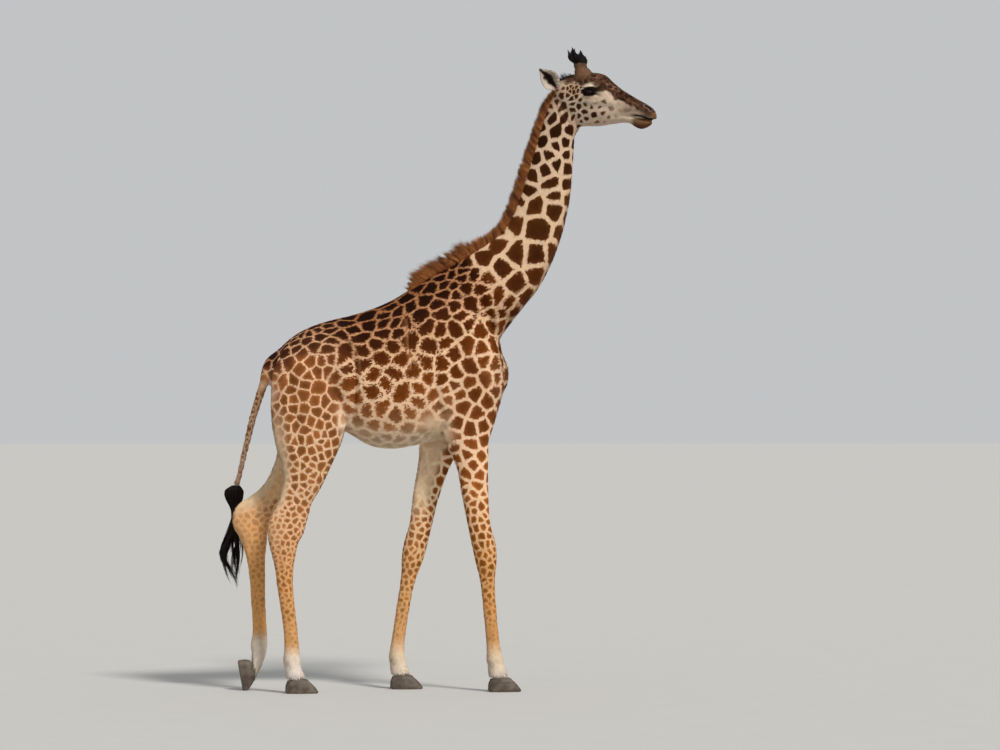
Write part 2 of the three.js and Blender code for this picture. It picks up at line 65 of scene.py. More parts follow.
# Withers to poll: nape x z, throat x z, half width, share of the depth to the widest
# place, fullness on the nape and throat sides, turn with the head.
NECK = [
    [-60, 2660, 300, 2100, 150, 0.6, 1.7, 2, 0], [88, 2770, 418, 2300, 150, 0.6, 1.7, 2, 0],
    [220, 2848, 540, 2462, 138, 0.58, 1.7, 2, 0], [330, 2922, 646, 2592, 124, 0.58, 1.7, 2, 0],
    [420, 2996, 737, 2756, 112, 0.56, 1.7, 2, 0], [482, 3100, 804, 2928, 102, 0.56, 1.7, 2, 0],
    [530, 3226, 850, 3103, 94, 0.56, 1.7, 2, 0], [568, 3350, 877, 3263, 88, 0.55, 1.8, 2, 0],
    [602, 3458, 889, 3397, 82, 0.55, 1.8, 2, 0], [634, 3546, 897, 3511, 77, 0.54, 1.9, 2, 0.08],
    [666, 3644, 906, 3612, 74, 0.53, 1.9, 2, 0.25], [702, 3746, 940, 3668, 72, 0.52, 2, 2, 0.5],
    [742, 3850, 965, 3720, 71, 0.5, 2, 2, 0.8], [796, 3935, 960, 3810, 66, 0.5, 2, 2, 1],
]
# The head has its own frame at the poll joint: u forward, side to the left, v up.
HEAD_PIVOT = (850, 3880)
HEAD_TURN = math.radians(24)
SKULL = [
    [-84, 62, -20, -118, 60, 0.45, 2, 2], [-40, 104, 24, -182, 78, 0.42, 2, 1.9],
    [26, 126, 78, -208, 90, 0.4, 2, 1.8], [112, 138, 146, -211, 98, 0.38, 2.1, 1.7],
    [196, 139, 212, -212, 99, 0.38, 2.1, 1.7], [258, 123, 258, -208, 86, 0.4, 2, 1.8],
    [312, 76, 302, -200, 72, 0.42, 2, 1.9], [370, 28, 350, -188, 61, 0.46, 2, 2],
    [431, -11, 412, -172, 55, 0.5, 2, 2.1], [489, -46, 468, -158, 55, 0.54, 2, 2.2],
    [546, -78, 530, -170, 57, 0.55, 2, 2.3], [584, -108, 576, -178, 48, 0.52, 2.1, 2.2],
    [602, -142, 598, -176, 24, 0.5, 2, 2],
]
LOWER_JAW = [
    [250, -120, 246, -204, 50, 0.4, 2, 1.8], [330, -130, 316, -200, 46, 0.4, 2, 1.8],
    [400, -140, 388, -193, 40, 0.4, 2, 1.9], [446, -148, 430, -201, 37, 0.42, 2, 2],
    [484, -158, 470, -226, 40, 0.48, 2, 2.2], [528, -171, 508, -236, 40, 0.5, 2, 2.3],
    [560, -179, 556, -218, 30, 0.5, 2, 2], [572, -184, 572, -206, 16, 0.5, 2, 2],
]
BROW = {"u": 168, "side": 70, "v": 26, "radii": (74, 40, 50)}
EYE = {"u": 178, "side": 84, "v": 10, "radius": 31}
# Horn: middle line u, side, v and radius, up the stem and then up the tuft of hair.
HORN_TUFT_FROM = 199
HORN = [
    [120, 42, 84, 58], [116, 46, 116, 46], [106, 51, 142, 35], [96, 57, 168, 28],
    [88, 65, 196, 26], [81, 74, 210, 37], [74, 83, 228, 42], [69, 88, 248, 38],
    [66, 92, 268, 26], [62, 95, 288, 12], [60, 97, 304, 3],
]
# What the skin of the head grows over at the foot of a horn.
HORN_BASE = [[126, 22, 40, 72], [125, 31, 84, 67], [118, 41, 113, 57], [109, 50, 138, 44],
             [99, 57, 165, 32]]
EAR = {
    "root": (-44, 66, 34),
    "tips": {"right": (-79, 154, 120), "left": (-62, 190, 26)},
    "facing": {"right": (0.68, 0.63, -0.36), "left": (0.86, 0.2, -0.4)},
    "length": 212,
    "half_widths": [22, 38, 56, 63, 60, 46, 24, 5],
    "thickness": [17, 14, 11, 9, 8, 7, 6, 4],
    "cup": 0.62,
}
# Down each leg: half depth, half width, distance out from the body's middle plane and
# fullness of the back edge; then each leg's own line of x z.
FORE = {
    "shape": [
        [60, 26, 74, 2], [150, 62, 112, 2], [205, 88, 134, 2], [222, 96, 142, 2],
        [186, 92, 146, 2], [150, 78, 150, 2], [112, 66, 153, 2], [88, 56, 157, 2],
        [76, 54, 161, 2], [78, 61, 164, 2], [70, 57, 166, 2], [56, 45, 167, 2],
        [48, 38, 168, 2], [46, 35, 169, 2], [45, 36, 170, 2], [47, 45, 170, 2],
        [55, 53, 170, 2], [58, 51, 170, 2], [63, 60, 170, 2],
    ],
    "right": [
        [84, 2570], [118, 2400], [172, 2200], [200, 2010], [190, 1815], [180, 1635],
        [206, 1500], [230, 1270], [257, 1060], [290, 915], [300, 830], [305, 755],
        [311, 670], [321, 545], [333, 415], [345, 290], [354, 212], [364, 158], [382, 92],
    ],
    "left": [
        [74, 2570], [104, 2400], [142, 2200], [138, 2010], [98, 1815], [40, 1640],
        [2, 1495], [-56, 1270], [-96, 1060], [-134, 915], [-152, 830], [-167, 755],
        [-184, 670], [-206, 545], [-226, 415], [-243, 290], [-248, 212], [-240, 158],
        [-222, 92],
    ],
    "sole_pitch": {"right": 0, "left": 0},
}
HIND = {
    "shape": [
        [70, 26, 74, 2], [188, 84, 106, 1.5], [240, 112, 126, 1.5], [252, 116, 134, 1.5],
        [236, 108, 138, 1.6], [206, 94, 141, 1.7], [160, 76, 144, 1.9], [130, 63, 147, 2],
        [108, 52, 151, 2], [112, 46, 155, 2], [122, 49, 158, 2], [104, 52, 161, 2],
        [84, 50, 163, 2], [66, 43, 165, 2], [55, 37, 167, 2], [50, 35, 168, 2],
        [48, 35, 169, 2], [50, 43, 170, 2], [57, 52, 170, 2], [57, 50, 170, 2],
        [63, 60, 170, 2],
    ],
    "right": [
        [-800, 2310], [-824, 2180], [-842, 2045], [-845, 1885], [-850, 1705], [-858, 1580],
        [-870, 1455], [-890, 1355], [-926, 1255], [-958, 1155], [-993, 1065], [-1010, 985],
        [-1010, 905], [-1007, 820], [-1002, 700], [-987, 570], [-970, 440], [-959, 300],
        [-957, 215], [-950, 155], [-930, 92],
    ],
    "left": [
        [-792, 2310], [-812, 2180], [-828, 2045], [-824, 1885], [-822, 1705], [-840, 1590],
        [-890, 1475], [-965, 1350], [-1060, 1245], [-1146, 1170], [-1206, 1112],
        [-1190, 1035], [-1178, 955], [-1170, 870], [-1160, 740], [-1154, 590],
        [-1147, 450], [-1143, 370], [-1148, 298], [-1160, 219], [-1184, 141],
    ],
    "sole_pitch": {"right": 0, "left": math.radians(80)},
}
LEG_KINDS = {"fore": FORE, "hind": HIND}
KNEE_HEIGHT = {"fore": 900, "hind": 1080}
# One claw of a hoof: toe and heel x from the foot's middle, height, half width.
CLAW = {
    "levels": [[134, -60, 0, 30], [140, -66, 7, 32], [131, -67, 26, 32], [104, -64, 58, 30.5],
               [80, -57, 79, 27], [64, -48, 90, 21], [46, -34, 93, 13]],
    "heel_drop": 9,
    "out": 34,
    "coronet": 92,
}
# Tail: x y z of its middle and its radius; then the hanging tuft.
TAIL = [
    [-1010, 0, 2175, 46], [-1084, 4, 2120, 40], [-1128, 20, 1990, 30], [-1166, 62, 1870, 25],
    [-1196, 104, 1760, 23], [-1222, 150, 1640, 21], [-1250, 205, 1510, 19],
    [-1272, 248, 1400, 18], [-1290, 278, 1330, 20],
]
TAIL_TUFT = [
    [-1294, 284, 1322, 26], [-1304, 294, 1292, 60], [-1304, 300, 1244, 58],
    [-1300, 306, 1190, 34], [-1298, 308, 1140, 22], [-1304, 310, 1060, 40],
    [-1312, 312, 985, 62], [-1326, 312, 890, 84], [-1316, 310, 790, 66], [-1296, 308, 700, 40],
    [-1284, 306, 636, 14],
]
# The mane: where it starts on the back, and its height above the nape at equal steps.
MANE = {
    "start": [[-192, 2598], [-62, 2690]],
    "heights": [3, 68, 82, 76, 78, 62, 50, 50, 54, 54, 52, 52, 52, 50, 50, 50, 46, 34, 14],
    "half_width": 30,
}


# ------------------------------------------------------------- colours, points and frames


def linear(code):
    """An sRGB colour such as "a0b1c2" as linear red, green and blue."""
    parts = np.array([int(code[k : k + 2], 16) for k in (0, 2, 4)]) / 255
    return np.where(parts <= 0.04045, parts / 12.92, ((parts + 0.055) / 1.055) ** 2.4)


def ramp(value, low, high):
    """0 at low, 1 at high and smooth between them; low may be above high."""
    t = np.clip((value - low) / (high - low), 0, 1)
    return t * t * (3 - 2 * t)


def bell(*pairs):
    """1 where each distance is 0, falling off over its width; pairs of the two."""
    return np.exp(sum(-((distance / width) ** 2) for distance, width in pairs))


def turned(points, angle):
    """Points turned about the upright line through the poll joint."""
    points = np.array(points, float)
    x, y = points[..., 0] - HEAD_PIVOT[0], points[..., 1].copy()
    points[..., 0] = HEAD_PIVOT[0] + x * np.cos(angle) + y * np.sin(angle)
    points[..., 1] = y * np.cos(angle) - x * np.sin(angle)
    return points


def head_point(u, side, v):
    return turned([HEAD_PIVOT[0] + u, side, HEAD_PIVOT[1] + v], HEAD_TURN)


def head_rows(rows, side):
    """Rows of u, side, v and radius on one side of the head as x y z radius."""
    return [[*head_point(u, SIDES[side] * out, v), radius] for u, out, v, radius in rows]


def eye_centre(sign):
    return head_point(EYE["u"], sign * EYE["side"], EYE["v"])


def head_frame(points):
    """The u, side and v of points."""
    back = turned(points, -HEAD_TURN)
    return back[..., 0] - HEAD_PIVOT[0], back[..., 1], back[..., 2] - HEAD_PIVOT[1]


eye_low, eye_high = (np.array(corner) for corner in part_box("eye_right"))
SHIFT = (eye_low + eye_high) / 2 / MM - eye_centre(-1)


def to_metres(points):
    return (np.asarray(points) + SHIFT) * MM


def unit(vectors):
    length = np.linalg.norm(vectors, axis=-1, keepdims=True)
    return vectors / np.maximum(length, 1e-9)


def read_evenly(values, at):
    """Values that stand at even steps from 0 to 1, read between them."""
    return np.interp(at, np.linspace(0, 1, len(values)), values)


def smooth_rows(rows, steps, places):
    """Rows with smooth ones between them, spaced by the columns that give their places."""
    rows = np.array(rows, float)
    gaps = np.linalg.norm(np.diff(rows[:, places], axis=0), axis=1)[:, None]
    slopes = np.diff(rows, axis=0) / gaps
    bend = np.empty_like(rows)
    bend[1:-1] = (slopes[:-1] * gaps[1:] + slopes[1:] * gaps[:-1]) / (gaps[1:] + gaps[:-1])
    bend[0], bend[-1] = slopes[0], slopes[-1]
    smooth = []
    for i, gap in enumerate(gaps):
        for t in np.arange(steps) / steps:
            keep, reach = 1 - t * t * (3 - 2 * t), t * t * (3 - 2 * t)
            row = keep * rows[i] + reach * rows[i + 1]
            row += gap * (t * (1 - t) ** 2 * bend[i] - t * t * (1 - t) * bend[i + 1])
            smooth.append(row)
    return np.array(smooth + [rows[-1]])


def ring(a, b, y, w, mid, full_a, full_b, sides, turn=0.0):
    """One closed section from x z point a to x z point b, and w to each side of y."""
    angle = 2 * np.pi * np.arange(sides) / sides
    to_a = np.cos(angle) >= 0
    power = 2 / np.where(to_a, full_a, full_b)
    reach = np.abs(np.cos(angle)) ** power
    centre = np.array(a) + (np.array(b) - np.array(a)) * mid
    end = np.where(to_a[:, None], a, b)
    flat = centre + (end - centre) * reach[:, None]
    out = y + w * np.sign(np.sin(angle)) * np.abs(np.sin(angle)) ** power
    points = np.stack([flat[:, 0], out, flat[:, 1]], 1)
    return turned(points, turn * HEAD_TURN) if turn else points


def spread(a, b, grow):
    """Two x z points moved apart by grow at each end."""
    a, b = np.array(a, float), np.array(b, float)
    out = unit(a - b) * grow
    return a + out, b - out


# ------------------------------------------------------------------- the members' sections


TURN = 8  # the last column of a section: how far it turns with the head


def member_rings(rows, grow, sides):
    """Sections from rows of x z ends, half width, share of the way to the widest place,
    fullness towards each end, and turn with the head."""
    rings = []
    for ax, az, bx, bz, w, mid, full_a, full_b, turn in rows:
        a, b = spread((ax, az), (bx, bz), grow)
        rings.append(ring(a, b, 0, w + grow, mid, full_a, full_b, sides, turn))
    return rings


def trunk_rings(grow, steps=6):
    rows = smooth_rows(TRUNK, steps, [0])[:, [0, 1, 0, 2, 3, 4, 5, 6]]
    return member_rings(np.insert(rows, TURN, 0, axis=1), grow, sides=72)


def neck_rings(grow, steps=8):
    return member_rings(smooth_rows(NECK, steps, [0, 1, 2, 3]), grow, sides=56)


def head_rings(table, grow, steps=8):
    rows = smooth_rows(table, steps, [0, 1, 2, 3])
    rows[:, :4] += HEAD_PIVOT * 2
    return member_rings(np.insert(rows, TURN, 1, axis=1), grow, sides=64)


def leg_rows(kind, side, steps):
    shape = np.array(LEG_KINDS[kind]["shape"], float)
    line = np.array(LEG_KINDS[kind][side], float)
    return smooth_rows(np.hstack([line, shape]), steps, [0, 1])


def leg_rings(kind, side, grow, steps=6, sides=48):
    rows = leg_rows(kind, side, steps)
    last = len(rows) - 1
    pitch = LEG_KINDS[kind]["sole_pitch"][side]
    along_sole = np.array([math.cos(pitch), -math.sin(pitch)])
    rings = []
    for i, (x, z, depth, width, out, back) in enumerate(rows):
        run = unit(rows[min(i + 1, last), :2] - rows[max(i - 1, 0), :2])
        square = np.array([-run[1], run[0]])
        near_sole = max(0, (i - last + 2 * steps) / (2 * steps))
        forward = unit(square + (along_sole - square) * near_sole)
        a = np.array([x, z]) + forward * (depth + grow)
        b = np.array([x, z]) - forward * (depth + grow)
        rings.append(ring(a, b, SIDES[side] * out, width + grow, 0.5, 2, back, sides))
    return rings


def tube_rings(rows, grow=0.0, steps=6, sides=32):
    """Round sections along a line of x y z radius."""
    rows = smooth_rows(rows, steps, [0, 1, 2])
    last = len(rows) - 1
    angle = 2 * np.pi * np.arange(sides) / sides
    rings = []
    for i, (x, y, z, radius) in enumerate(rows):
        run = unit(rows[min(i + 1, last), :3] - rows[max(i - 1, 0), :3])
        across = unit(np.cross([0, 1, 0], run))
        around = np.outer(np.cos(angle), across) + np.outer(np.sin(angle), np.cross(run, across))
        rings.append(np.array([x, y, z]) + (radius + grow) * around)
    return rings


def ear_axes(side):
    sign = SIDES[side]
    origin = head_point(0, 0, 0)
    aim = lambda u, s, v: head_point(u, sign * s, v) - origin
    axis = unit(aim(*EAR["tips"][side]))
    facing = aim(*EAR["facing"][side])
    facing = unit(facing - axis * facing.dot(axis))
    root_u, root_side, root_v = EAR["root"]
    return head_point(root_u, sign * root_side, root_v), axis, facing, np.cross(axis, facing)


def front_of_ear(across, side):
    """1 where across points to the front edge of an ear, -1 where it points away."""
    return np.sign(across[0] if abs(across[0]) > 0.2 else across[1] * -SIDES[side])


def ear_rings(side, grow, steps=8, sides=48):
    """A cupped leaf: each section is a flat oval, bowed towards the ear's open side."""
    root, axis, facing, across = ear_axes(side)
    count = len(EAR["half_widths"])
    rows = np.stack([np.arange(count), EAR["half_widths"], EAR["thickness"]], 1)
    angle = 2 * np.pi * np.arange(sides) / sides
    rings = []
    for place, width, thickness in smooth_rows(rows, steps, [0]):
        share = place / (count - 1)
        middle = root + axis * EAR["length"] * share
        bow = EAR["cup"] * width * math.sin(math.pi * min(1, 0.25 + share * 0.75))
        sideways = np.cos(angle)
        lift = (thickness + grow) * np.sin(angle) + bow * (sideways**2 - 0.5)
        flat = np.outer((width + grow) * sideways, across)
        rings.append(middle + flat + np.outer(lift, facing))
    return rings


# ---------------------------------------------------------------------------- mesh making


def deselect():
    if bpy.context.object and bpy.context.object.mode != "OBJECT":
        bpy.ops.object.mode_set(mode="OBJECT")
    bpy.ops.object.select_all(action="DESELECT")


def pick(*objects):
    deselect()
    for piece in objects:
        piece.select_set(True)
    bpy.context.view_layer.objects.active = objects[0]


def points_of(piece):
    flat = np.empty(len(piece.data.vertices) * 3)
    piece.data.vertices.foreach_get("co", flat)
    return flat.reshape(-1, 3)


def place_points(piece, points):
    piece.data.vertices.foreach_set("co", np.asarray(points, float).ravel())
    piece.data.update()


def new_sphere(name, segments, rows):
    deselect()
    bpy.ops.mesh.primitive_uv_sphere_add(segments=segments, ring_count=rows, radius=1)
    form = bpy.context.object
    form.name = name
    return form


def face_out():
    """Turns all faces of the mesh being edited outwards, and ends the editing."""
    bpy.ops.mesh.select_all(action="SELECT")
    bpy.ops.mesh.normals_make_consistent(inside=False)
    bpy.ops.object.mode_set(mode="OBJECT")


def loft(name, rings):
    """A closed form through rings: a sphere of as many rows is moved onto them."""
    rows, sides = len(rings), len(rings[0])
    form = new_sphere(name, sides, rows + 1)
    start = points_of(form)
    row = np.rint(np.arccos(np.clip(start[:, 2], -1, 1)) / np.pi * (rows + 1)).astype(int)
    place = np.rint(np.arctan2(start[:, 1], start[:, 0]) / (2 * np.pi) * sides).astype(int)
    table = np.array(rings)
    ends = np.concatenate([table[:1], table, table[-1:]])
    points = ends[row, place % sides]
    points[row == 0] = table[0].mean(0)
    points[row == rows + 1] = table[-1].mean(0)
    place_points(form, to_metres(points))
    bpy.ops.object.mode_set(mode="EDIT")
    face_out()
    return form


def ball(name, centre, radii, segments=48, rows=32):
    """An oval ball in the head's frame."""
    form = new_sphere(name, segments, rows)
    unturned = points_of(form) * np.array(radii)
    cos, sin = math.cos(HEAD_TURN), math.sin(HEAD_TURN)
    turn = np.array([[cos, -sin, 0], [sin, cos, 0], [0, 0, 1]])
    place_points(form, to_metres(unturned @ turn + centre))
    return form


def apply(piece, kind, **settings):
    """Adds a modifier and applies it."""
    pick(piece)
    modifier = piece.modifiers.new(kind.title(), kind)
    for name, value in settings.items():
        setattr(modifier, name, value)
    bpy.ops.object.modifier_apply(modifier=modifier.name)


def fuse(name, forms, voxel):
    """Joins closed forms into one and rebuilds their outer surface as one even mesh."""
    pick(*forms)
    bpy.ops.object.join()
    piece = bpy.context.object
    piece.name = name
    apply(piece, "REMESH", mode="VOXEL", voxel_size=voxel * MM)
    return piece


def cut_away(piece, point, normal, above):
    """Bisects a piece and keeps only one side of the cut."""
    pick(piece)
    bpy.ops.object.mode_set(mode="EDIT")
    bpy.ops.mesh.select_all(action="SELECT")
    where = Vector(to_metres(point))
    bpy.ops.mesh.bisect(
        plane_co=where, plane_no=Vector(normal), clear_inner=above, clear_outer=not above
    )
    bpy.ops.object.mode_set(mode="OBJECT")


class Surface:
    """A mesh's points in millimetres with the edges that join them."""

    def __init__(self, piece):
        self.piece = piece
        mesh = piece.data
        self.points = points_of(piece) / MM - SHIFT
        edges = np.empty(len(mesh.edges) * 2, int)
        mesh.edges.foreach_get("vertices", edges)
        edges = edges.reshape(-1, 2)
        self.start = np.concatenate([edges[:, 0], edges[:, 1]])
        self.end = np.concatenate([edges[:, 1], edges[:, 0]])
        self.degree = np.maximum(np.bincount(self.start, minlength=len(self.points)), 1)

    def around(self, values):
        """The mean of each point's neighbours."""
        total = [
            np.bincount(self.start, values[self.end, k], len(self.points))
            for k in range(values.shape[1])
        ]
        return np.stack(total, 1) / self.degree[:, None]

    def soften(self, values, times):
        values = values.reshape(len(self.points), -1)
        for _ in range(times):
            values = 0.5 * values + 0.5 * self.around(values)
        return values

    def draw_in(self, share):
        """Moves points a share of the way to their neighbours' mean."""
        self.points += share * (self.around(self.points) - self.points)

    def even_out(self, times):
        """Smooths without shrinking: a pull in is followed by a slightly larger push out."""
        for _ in range(times):
            for share in (0.5, -0.53):
                self.draw_in(share)

    def write(self):
        place_points(self.piece, to_metres(self.points))

    def normals(self):
        self.write()
        flat = np.empty(len(self.points) * 3)
        self.piece.data.vertex_normals.foreach_get("vector", flat)
        return flat.reshape(-1, 3)


def fill_creases(surface, normals, times, reach):
    """Rounds the hollows where two members meet."""
    hollow = np.einsum("ij,ij->i", surface.around(surface.points) - surface.points, normals)
    sharp = ramp(hollow, 0.25 * reach, 1.2 * reach)
    weight = np.clip(surface.soften(sharp, 10)[:, 0] * 3.2, 0, 1)
    for _ in range(times):
        surface.draw_in(0.55 * weight[:, None])


# How far the forms lie inside the sections they are made from, in millimetres, and the size
# of the even mesh that they are fused into.
INSET = {"body": COAT_DEPTH, "tail": COAT_DEPTH / 2, "head": 1.5, "ear": 0.5, "horn": -0.8}
VOXEL = {"body": 13, "head": 5.6}
# The body's mesh ends and the head's begins on a plane across the neck.
NECK_CUT, UP_THE_NECK = (785, 0, 3600), (0.25, 0, 0.97)
HALF_GAP = 5


def make_skin():
    """One skin over trunk, legs, tail, neck, head and ears, finest on the head."""
    inner = -INSET["body"]
    body_forms = [loft("trunk_form", trunk_rings(inner)), loft("neck_form", neck_rings(inner))]
    for kind in LEG_KINDS:
        body_forms += [loft(f"{kind}_{side}", leg_rings(kind, side, inner)) for side in SIDES]
    body_forms.append(loft("tail_form", tube_rings(TAIL, -INSET["tail"])))
    body = fuse("skin", body_forms, VOXEL["body"])

    fine = -INSET["head"]
    head_forms = [
        loft("skull_form", head_rings(SKULL, fine)),
        loft("jaw_form", head_rings(LOWER_JAW, fine)),
        loft("neck_top_form", neck_rings(inner)[60:]),
    ]
    for side, sign in SIDES.items():
        brow = head_point(BROW["u"], sign * BROW["side"], BROW["v"])
        head_forms.append(ball("brow_form", brow, [r + fine for r in BROW["radii"]]))
        head_forms.append(loft("ear_form", ear_rings(side, -INSET["ear"])))
        stem = tube_rings(head_rows(HORN_BASE, side), -INSET["horn"])
        head_forms.append(loft("horn_base_form", stem))
    head = fuse("skin_head", head_forms, VOXEL["head"])

    gap = np.array(UP_THE_NECK) * HALF_GAP
    cut_away(body, np.array(NECK_CUT) - gap, UP_THE_NECK, above=False)
    cut_away(head, np.array(NECK_CUT) + gap, UP_THE_NECK, above=True)
    pick(body, head)
    bpy.ops.object.join()
    bpy.ops.object.mode_set(mode="EDIT")
    bpy.ops.mesh.select_all(action="DESELECT")
    bpy.ops.mesh.select_non_manifold(
        extend=False, use_boundary=True, use_wire=False, use_multi_face=False,
        use_non_contiguous=False, use_verts=False)
    bpy.ops.mesh.bridge_edge_loops()
    face_out()
    return body


# ------------------------------------------------------------------ carving of the skin

# Lines carved into each side: x z points, width, and depth, which is negative for a ridge.
BODY_LINES = {
    "behind_the_shoulder": ([(-30, 2290), (-46, 2020), (-12, 1850), (22, 1700)], 26, 13),
    "shoulder_front_of_it": ([(6, 2260), (-8, 2020), (28, 1850)], 34, -7),
    "rib_fold": ([(-188, 2390), (-184, 2230), (-172, 2085)], 15, 13),
    "rib_fold_crest": ([(-222, 2400), (-218, 2230), (-200, 2080)], 18, -10),
    "hip_fold": ([(-606, 2265), (-558, 2100), (-558, 1900), (-566, 1740)], 17, 15),
    "hip_fold_crest": ([(-566, 2240), (-520, 2090), (-520, 1900)], 26, -11),
    "blade_line": ([(150, 2460), (196, 2410), (236, 2350)], 15, 9),
    "neck_base": ([(268, 2545), (330, 2400), (366, 2260)], 18, 12),
    "neck_base_crest": ([(300, 2560), (364, 2410), (396, 2280)], 22, -9),
    "elbow": ([(-95, 1660), (-20, 1622), (60, 1600)], 18, 12),
    "hip_bone": ([(-640, 2330), (-600, 2280)], 50, -14),
    "thigh_front": ([(-640, 2100), (-620, 1900), (-640, 1720)], 50, -8),
    "thigh_groove": ([(-985, 2080), (-960, 1900), (-935, 1700), (-920, 1500)], 24, 9),
    "rump_hollow": ([(-1010, 2160), (-930, 2220)], 40, 6),
    "blade_spine": ([(60, 2560), (130, 2380), (190, 2180)], 34, -7),
    "shoulder_point": ([(250, 2120), (290, 2060)], 60, -10),
}
# The same on the neck: along it, at a share of the way from nape to throat.
NECK_LINES = {"gullet": (0.74, 16, 5), "neck_bones": (0.5, 30, -4), "nape_edge": (0.2, 18, 4)}
# The same on the head, by u and v.
HEAD_LINES = {
    "cheek_bone": ([(120, -52), (220, -48), (320, -66)], 20, -5),
    "below_cheek_bone": ([(120, -96), (230, -92), (330, -100)], 26, 4),
    "jaw_edge": ([(20, -168), (90, -186), (200, -186)], 16, -3),
    "behind_the_jaw": ([(-30, -60), (-2, -120), (22, -182)], 14, 7),
    "nose_hollow": ([(300, 10), (380, -50), (450, -84)], 22, 4),
    "throat_fold": ([(-62, -60), (-40, -130), (0, -200)], 12, 5),
    "upper_lid_fold": ([(132, 22), (156, 44), (190, 46), (224, 22)], 6, 4),
    "under_eye_fold": ([(150, -34), (186, -36), (216, -22)], 6, 3),
}
NOSTRIL = [(538, -88), (554, -94), (570, -107), (576, -117)]
LIP_LINE = [(438, -146), (484, -149), (512, -155), (548, -170), (602, -180)]


def distance_to(across, up, path):
    """How far points are from a path of straight steps, in one plane."""
    nearest = np.full(len(across), np.inf)
    for (ax, az), (bx, bz) in zip(path[:-1], path[1:]):
        dx, dz = bx - ax, bz - az
        share = ((across - ax) * dx + (up - az) * dz) / (dx * dx + dz * dz)
        share = np.clip(share, 0, 1)
        gap = np.hypot(across - ax - share * dx, up - az - share * dz)
        nearest = np.minimum(nearest, gap)
    return nearest


def carve_body(surface, normals):
    x, _, z = surface.points.T
    flank = ramp(np.abs(normals[:, 1]), 0.2, 0.6)
    depth = np.zeros(len(x))
    for path, width, deep in BODY_LINES.values():
        near = bell((distance_to(x, z, path), width))
        depth += deep * near * flank * ramp(z, 1500, 1600) * ramp(z, 3000, 2800)
    rows = smooth_rows(NECK, 6, [0, 1, 2, 3])
    on_neck = ramp(z, 2650, 2850) * ramp(z, 3800, 3650)
    for share, width, deep in NECK_LINES.values():
        path = rows[:, :2] + (rows[:, 2:4] - rows[:, :2]) * share
        near = bell((distance_to(x, z, path[::4]), width))
        depth += deep * near * on_neck * flank
    surface.points -= normals * depth[:, None]


def leg_profile(kind, side, steps, z):
    """The middle and the half depth of a leg at heights z."""
    line = leg_rows(kind, side, steps)
    line = line[np.argsort(line[:, 1])]
    return np.interp(z, line[:, 1], line[:, 0]), np.interp(z, line[:, 1], line[:, 2])


def carve_legs(surface, normals):
    """Tendon grooves down the cannons and above the hocks, and the hollow of each heel."""
    x, y, z = surface.points.T
    depth = np.zeros(len(x))
    for kind, side in itertools.product(LEG_KINDS, SIDES):
        here = (y * SIDES[side] > 40) & (z < 1500)
        knee = KNEE_HEIGHT[kind]
        middle, half = leg_profile(kind, side, 2, z)
        back = (x - middle) / half
        cannon = ramp(z, 260, 330) * ramp(z, knee - 60, knee - 160)
        groove = bell((back + 0.38, 0.2)) * cannon
        shin = ramp(z, knee + 90, knee + 180) * ramp(z, knee + 420, knee + 260)
        if kind == "hind":
            groove += 1.6 * bell((back + 0.42, 0.22)) * shin
        pastern = bell((z - 170, 30)) * bell((back + 0.75, 0.4))
        depth += here * (5 * groove + 5 * pastern)
    surface.points -= normals * depth[:, None]


def eye_axes(sign):
    """The way an eye looks out, the way forward along its opening, and up."""
    origin = head_point(0, 0, 0)
    out = unit(head_point(0.26, sign * 0.95, 0.08) - origin)
    ahead = head_point(1, 0, -0.02) - origin
    ahead = unit(ahead - out * ahead.dot(out))
    above = np.cross(out, ahead)
    return out, ahead, above * np.sign(above[2])


OPENING = {"half_length": 29, "above": 16.5, "below": 13}


def off_opening(along, up):
    """Distance outside the almond between the lids; below zero inside it."""
    half = OPENING["half_length"]
    arch = np.where(up > 0, OPENING["above"], OPENING["below"])
    height = arch * (1 - np.clip(np.abs(along) / half, 0, 1) ** 2)
    inside = np.abs(up) - height
    return np.where(np.abs(along) < half, inside, np.hypot(up, np.abs(along) - half))


def carve_lids(surface, sign):
    """Opens the skin over an eye and rolls it into two lids."""
    out, ahead, above = eye_axes(sign)
    centre, radius = eye_centre(sign), EYE["radius"]
    lid_at, clear_of_eye = radius + 3.0, radius + 2.5
    arm = surface.points - centre
    reach = np.linalg.norm(arm, axis=1)
    way = unit(arm)
    near = (way @ out > 0.15) & (reach < 90)
    off = off_opening(radius * way @ ahead, radius * way @ above)
    blend = ramp(off, 5, 26)
    target = np.where(off < 0, lid_at - 10 * ramp(off, 0, -2.5), lid_at + 2.0 * ramp(off, 1, 6))
    target = target * (1 - blend) + reach * blend
    target = np.where(off > 0, np.maximum(target, clear_of_eye), target)
    surface.points[near] = (centre + way * target[:, None])[near]


def carve_head(surface, normals):
    u, side, v = head_frame(surface.points)
    flank = ramp(np.abs(side), 14, 34)
    on_head = ramp(u, -90, -60)
    depth = np.zeros(len(u))
    for path, width, deep in HEAD_LINES.values():
        depth += deep * bell((distance_to(u, v, path), width)) * flank * on_head
    slit, lips = distance_to(u, v, NOSTRIL), distance_to(u, v, LIP_LINE)
    depth += (10 * bell((slit, 4.6)) - 3 * bell((slit - 11, 5))) * flank
    mouth = np.maximum(flank, ramp(u, 575, 600))
    depth += 8 * bell((lips, 4.5)) * mouth
    depth -= 2.5 * bell((lips - 12, 6)) * mouth
    surface.points -= normals * (depth * ramp(surface.points[:, 2], 3560, 3640))[:, None]


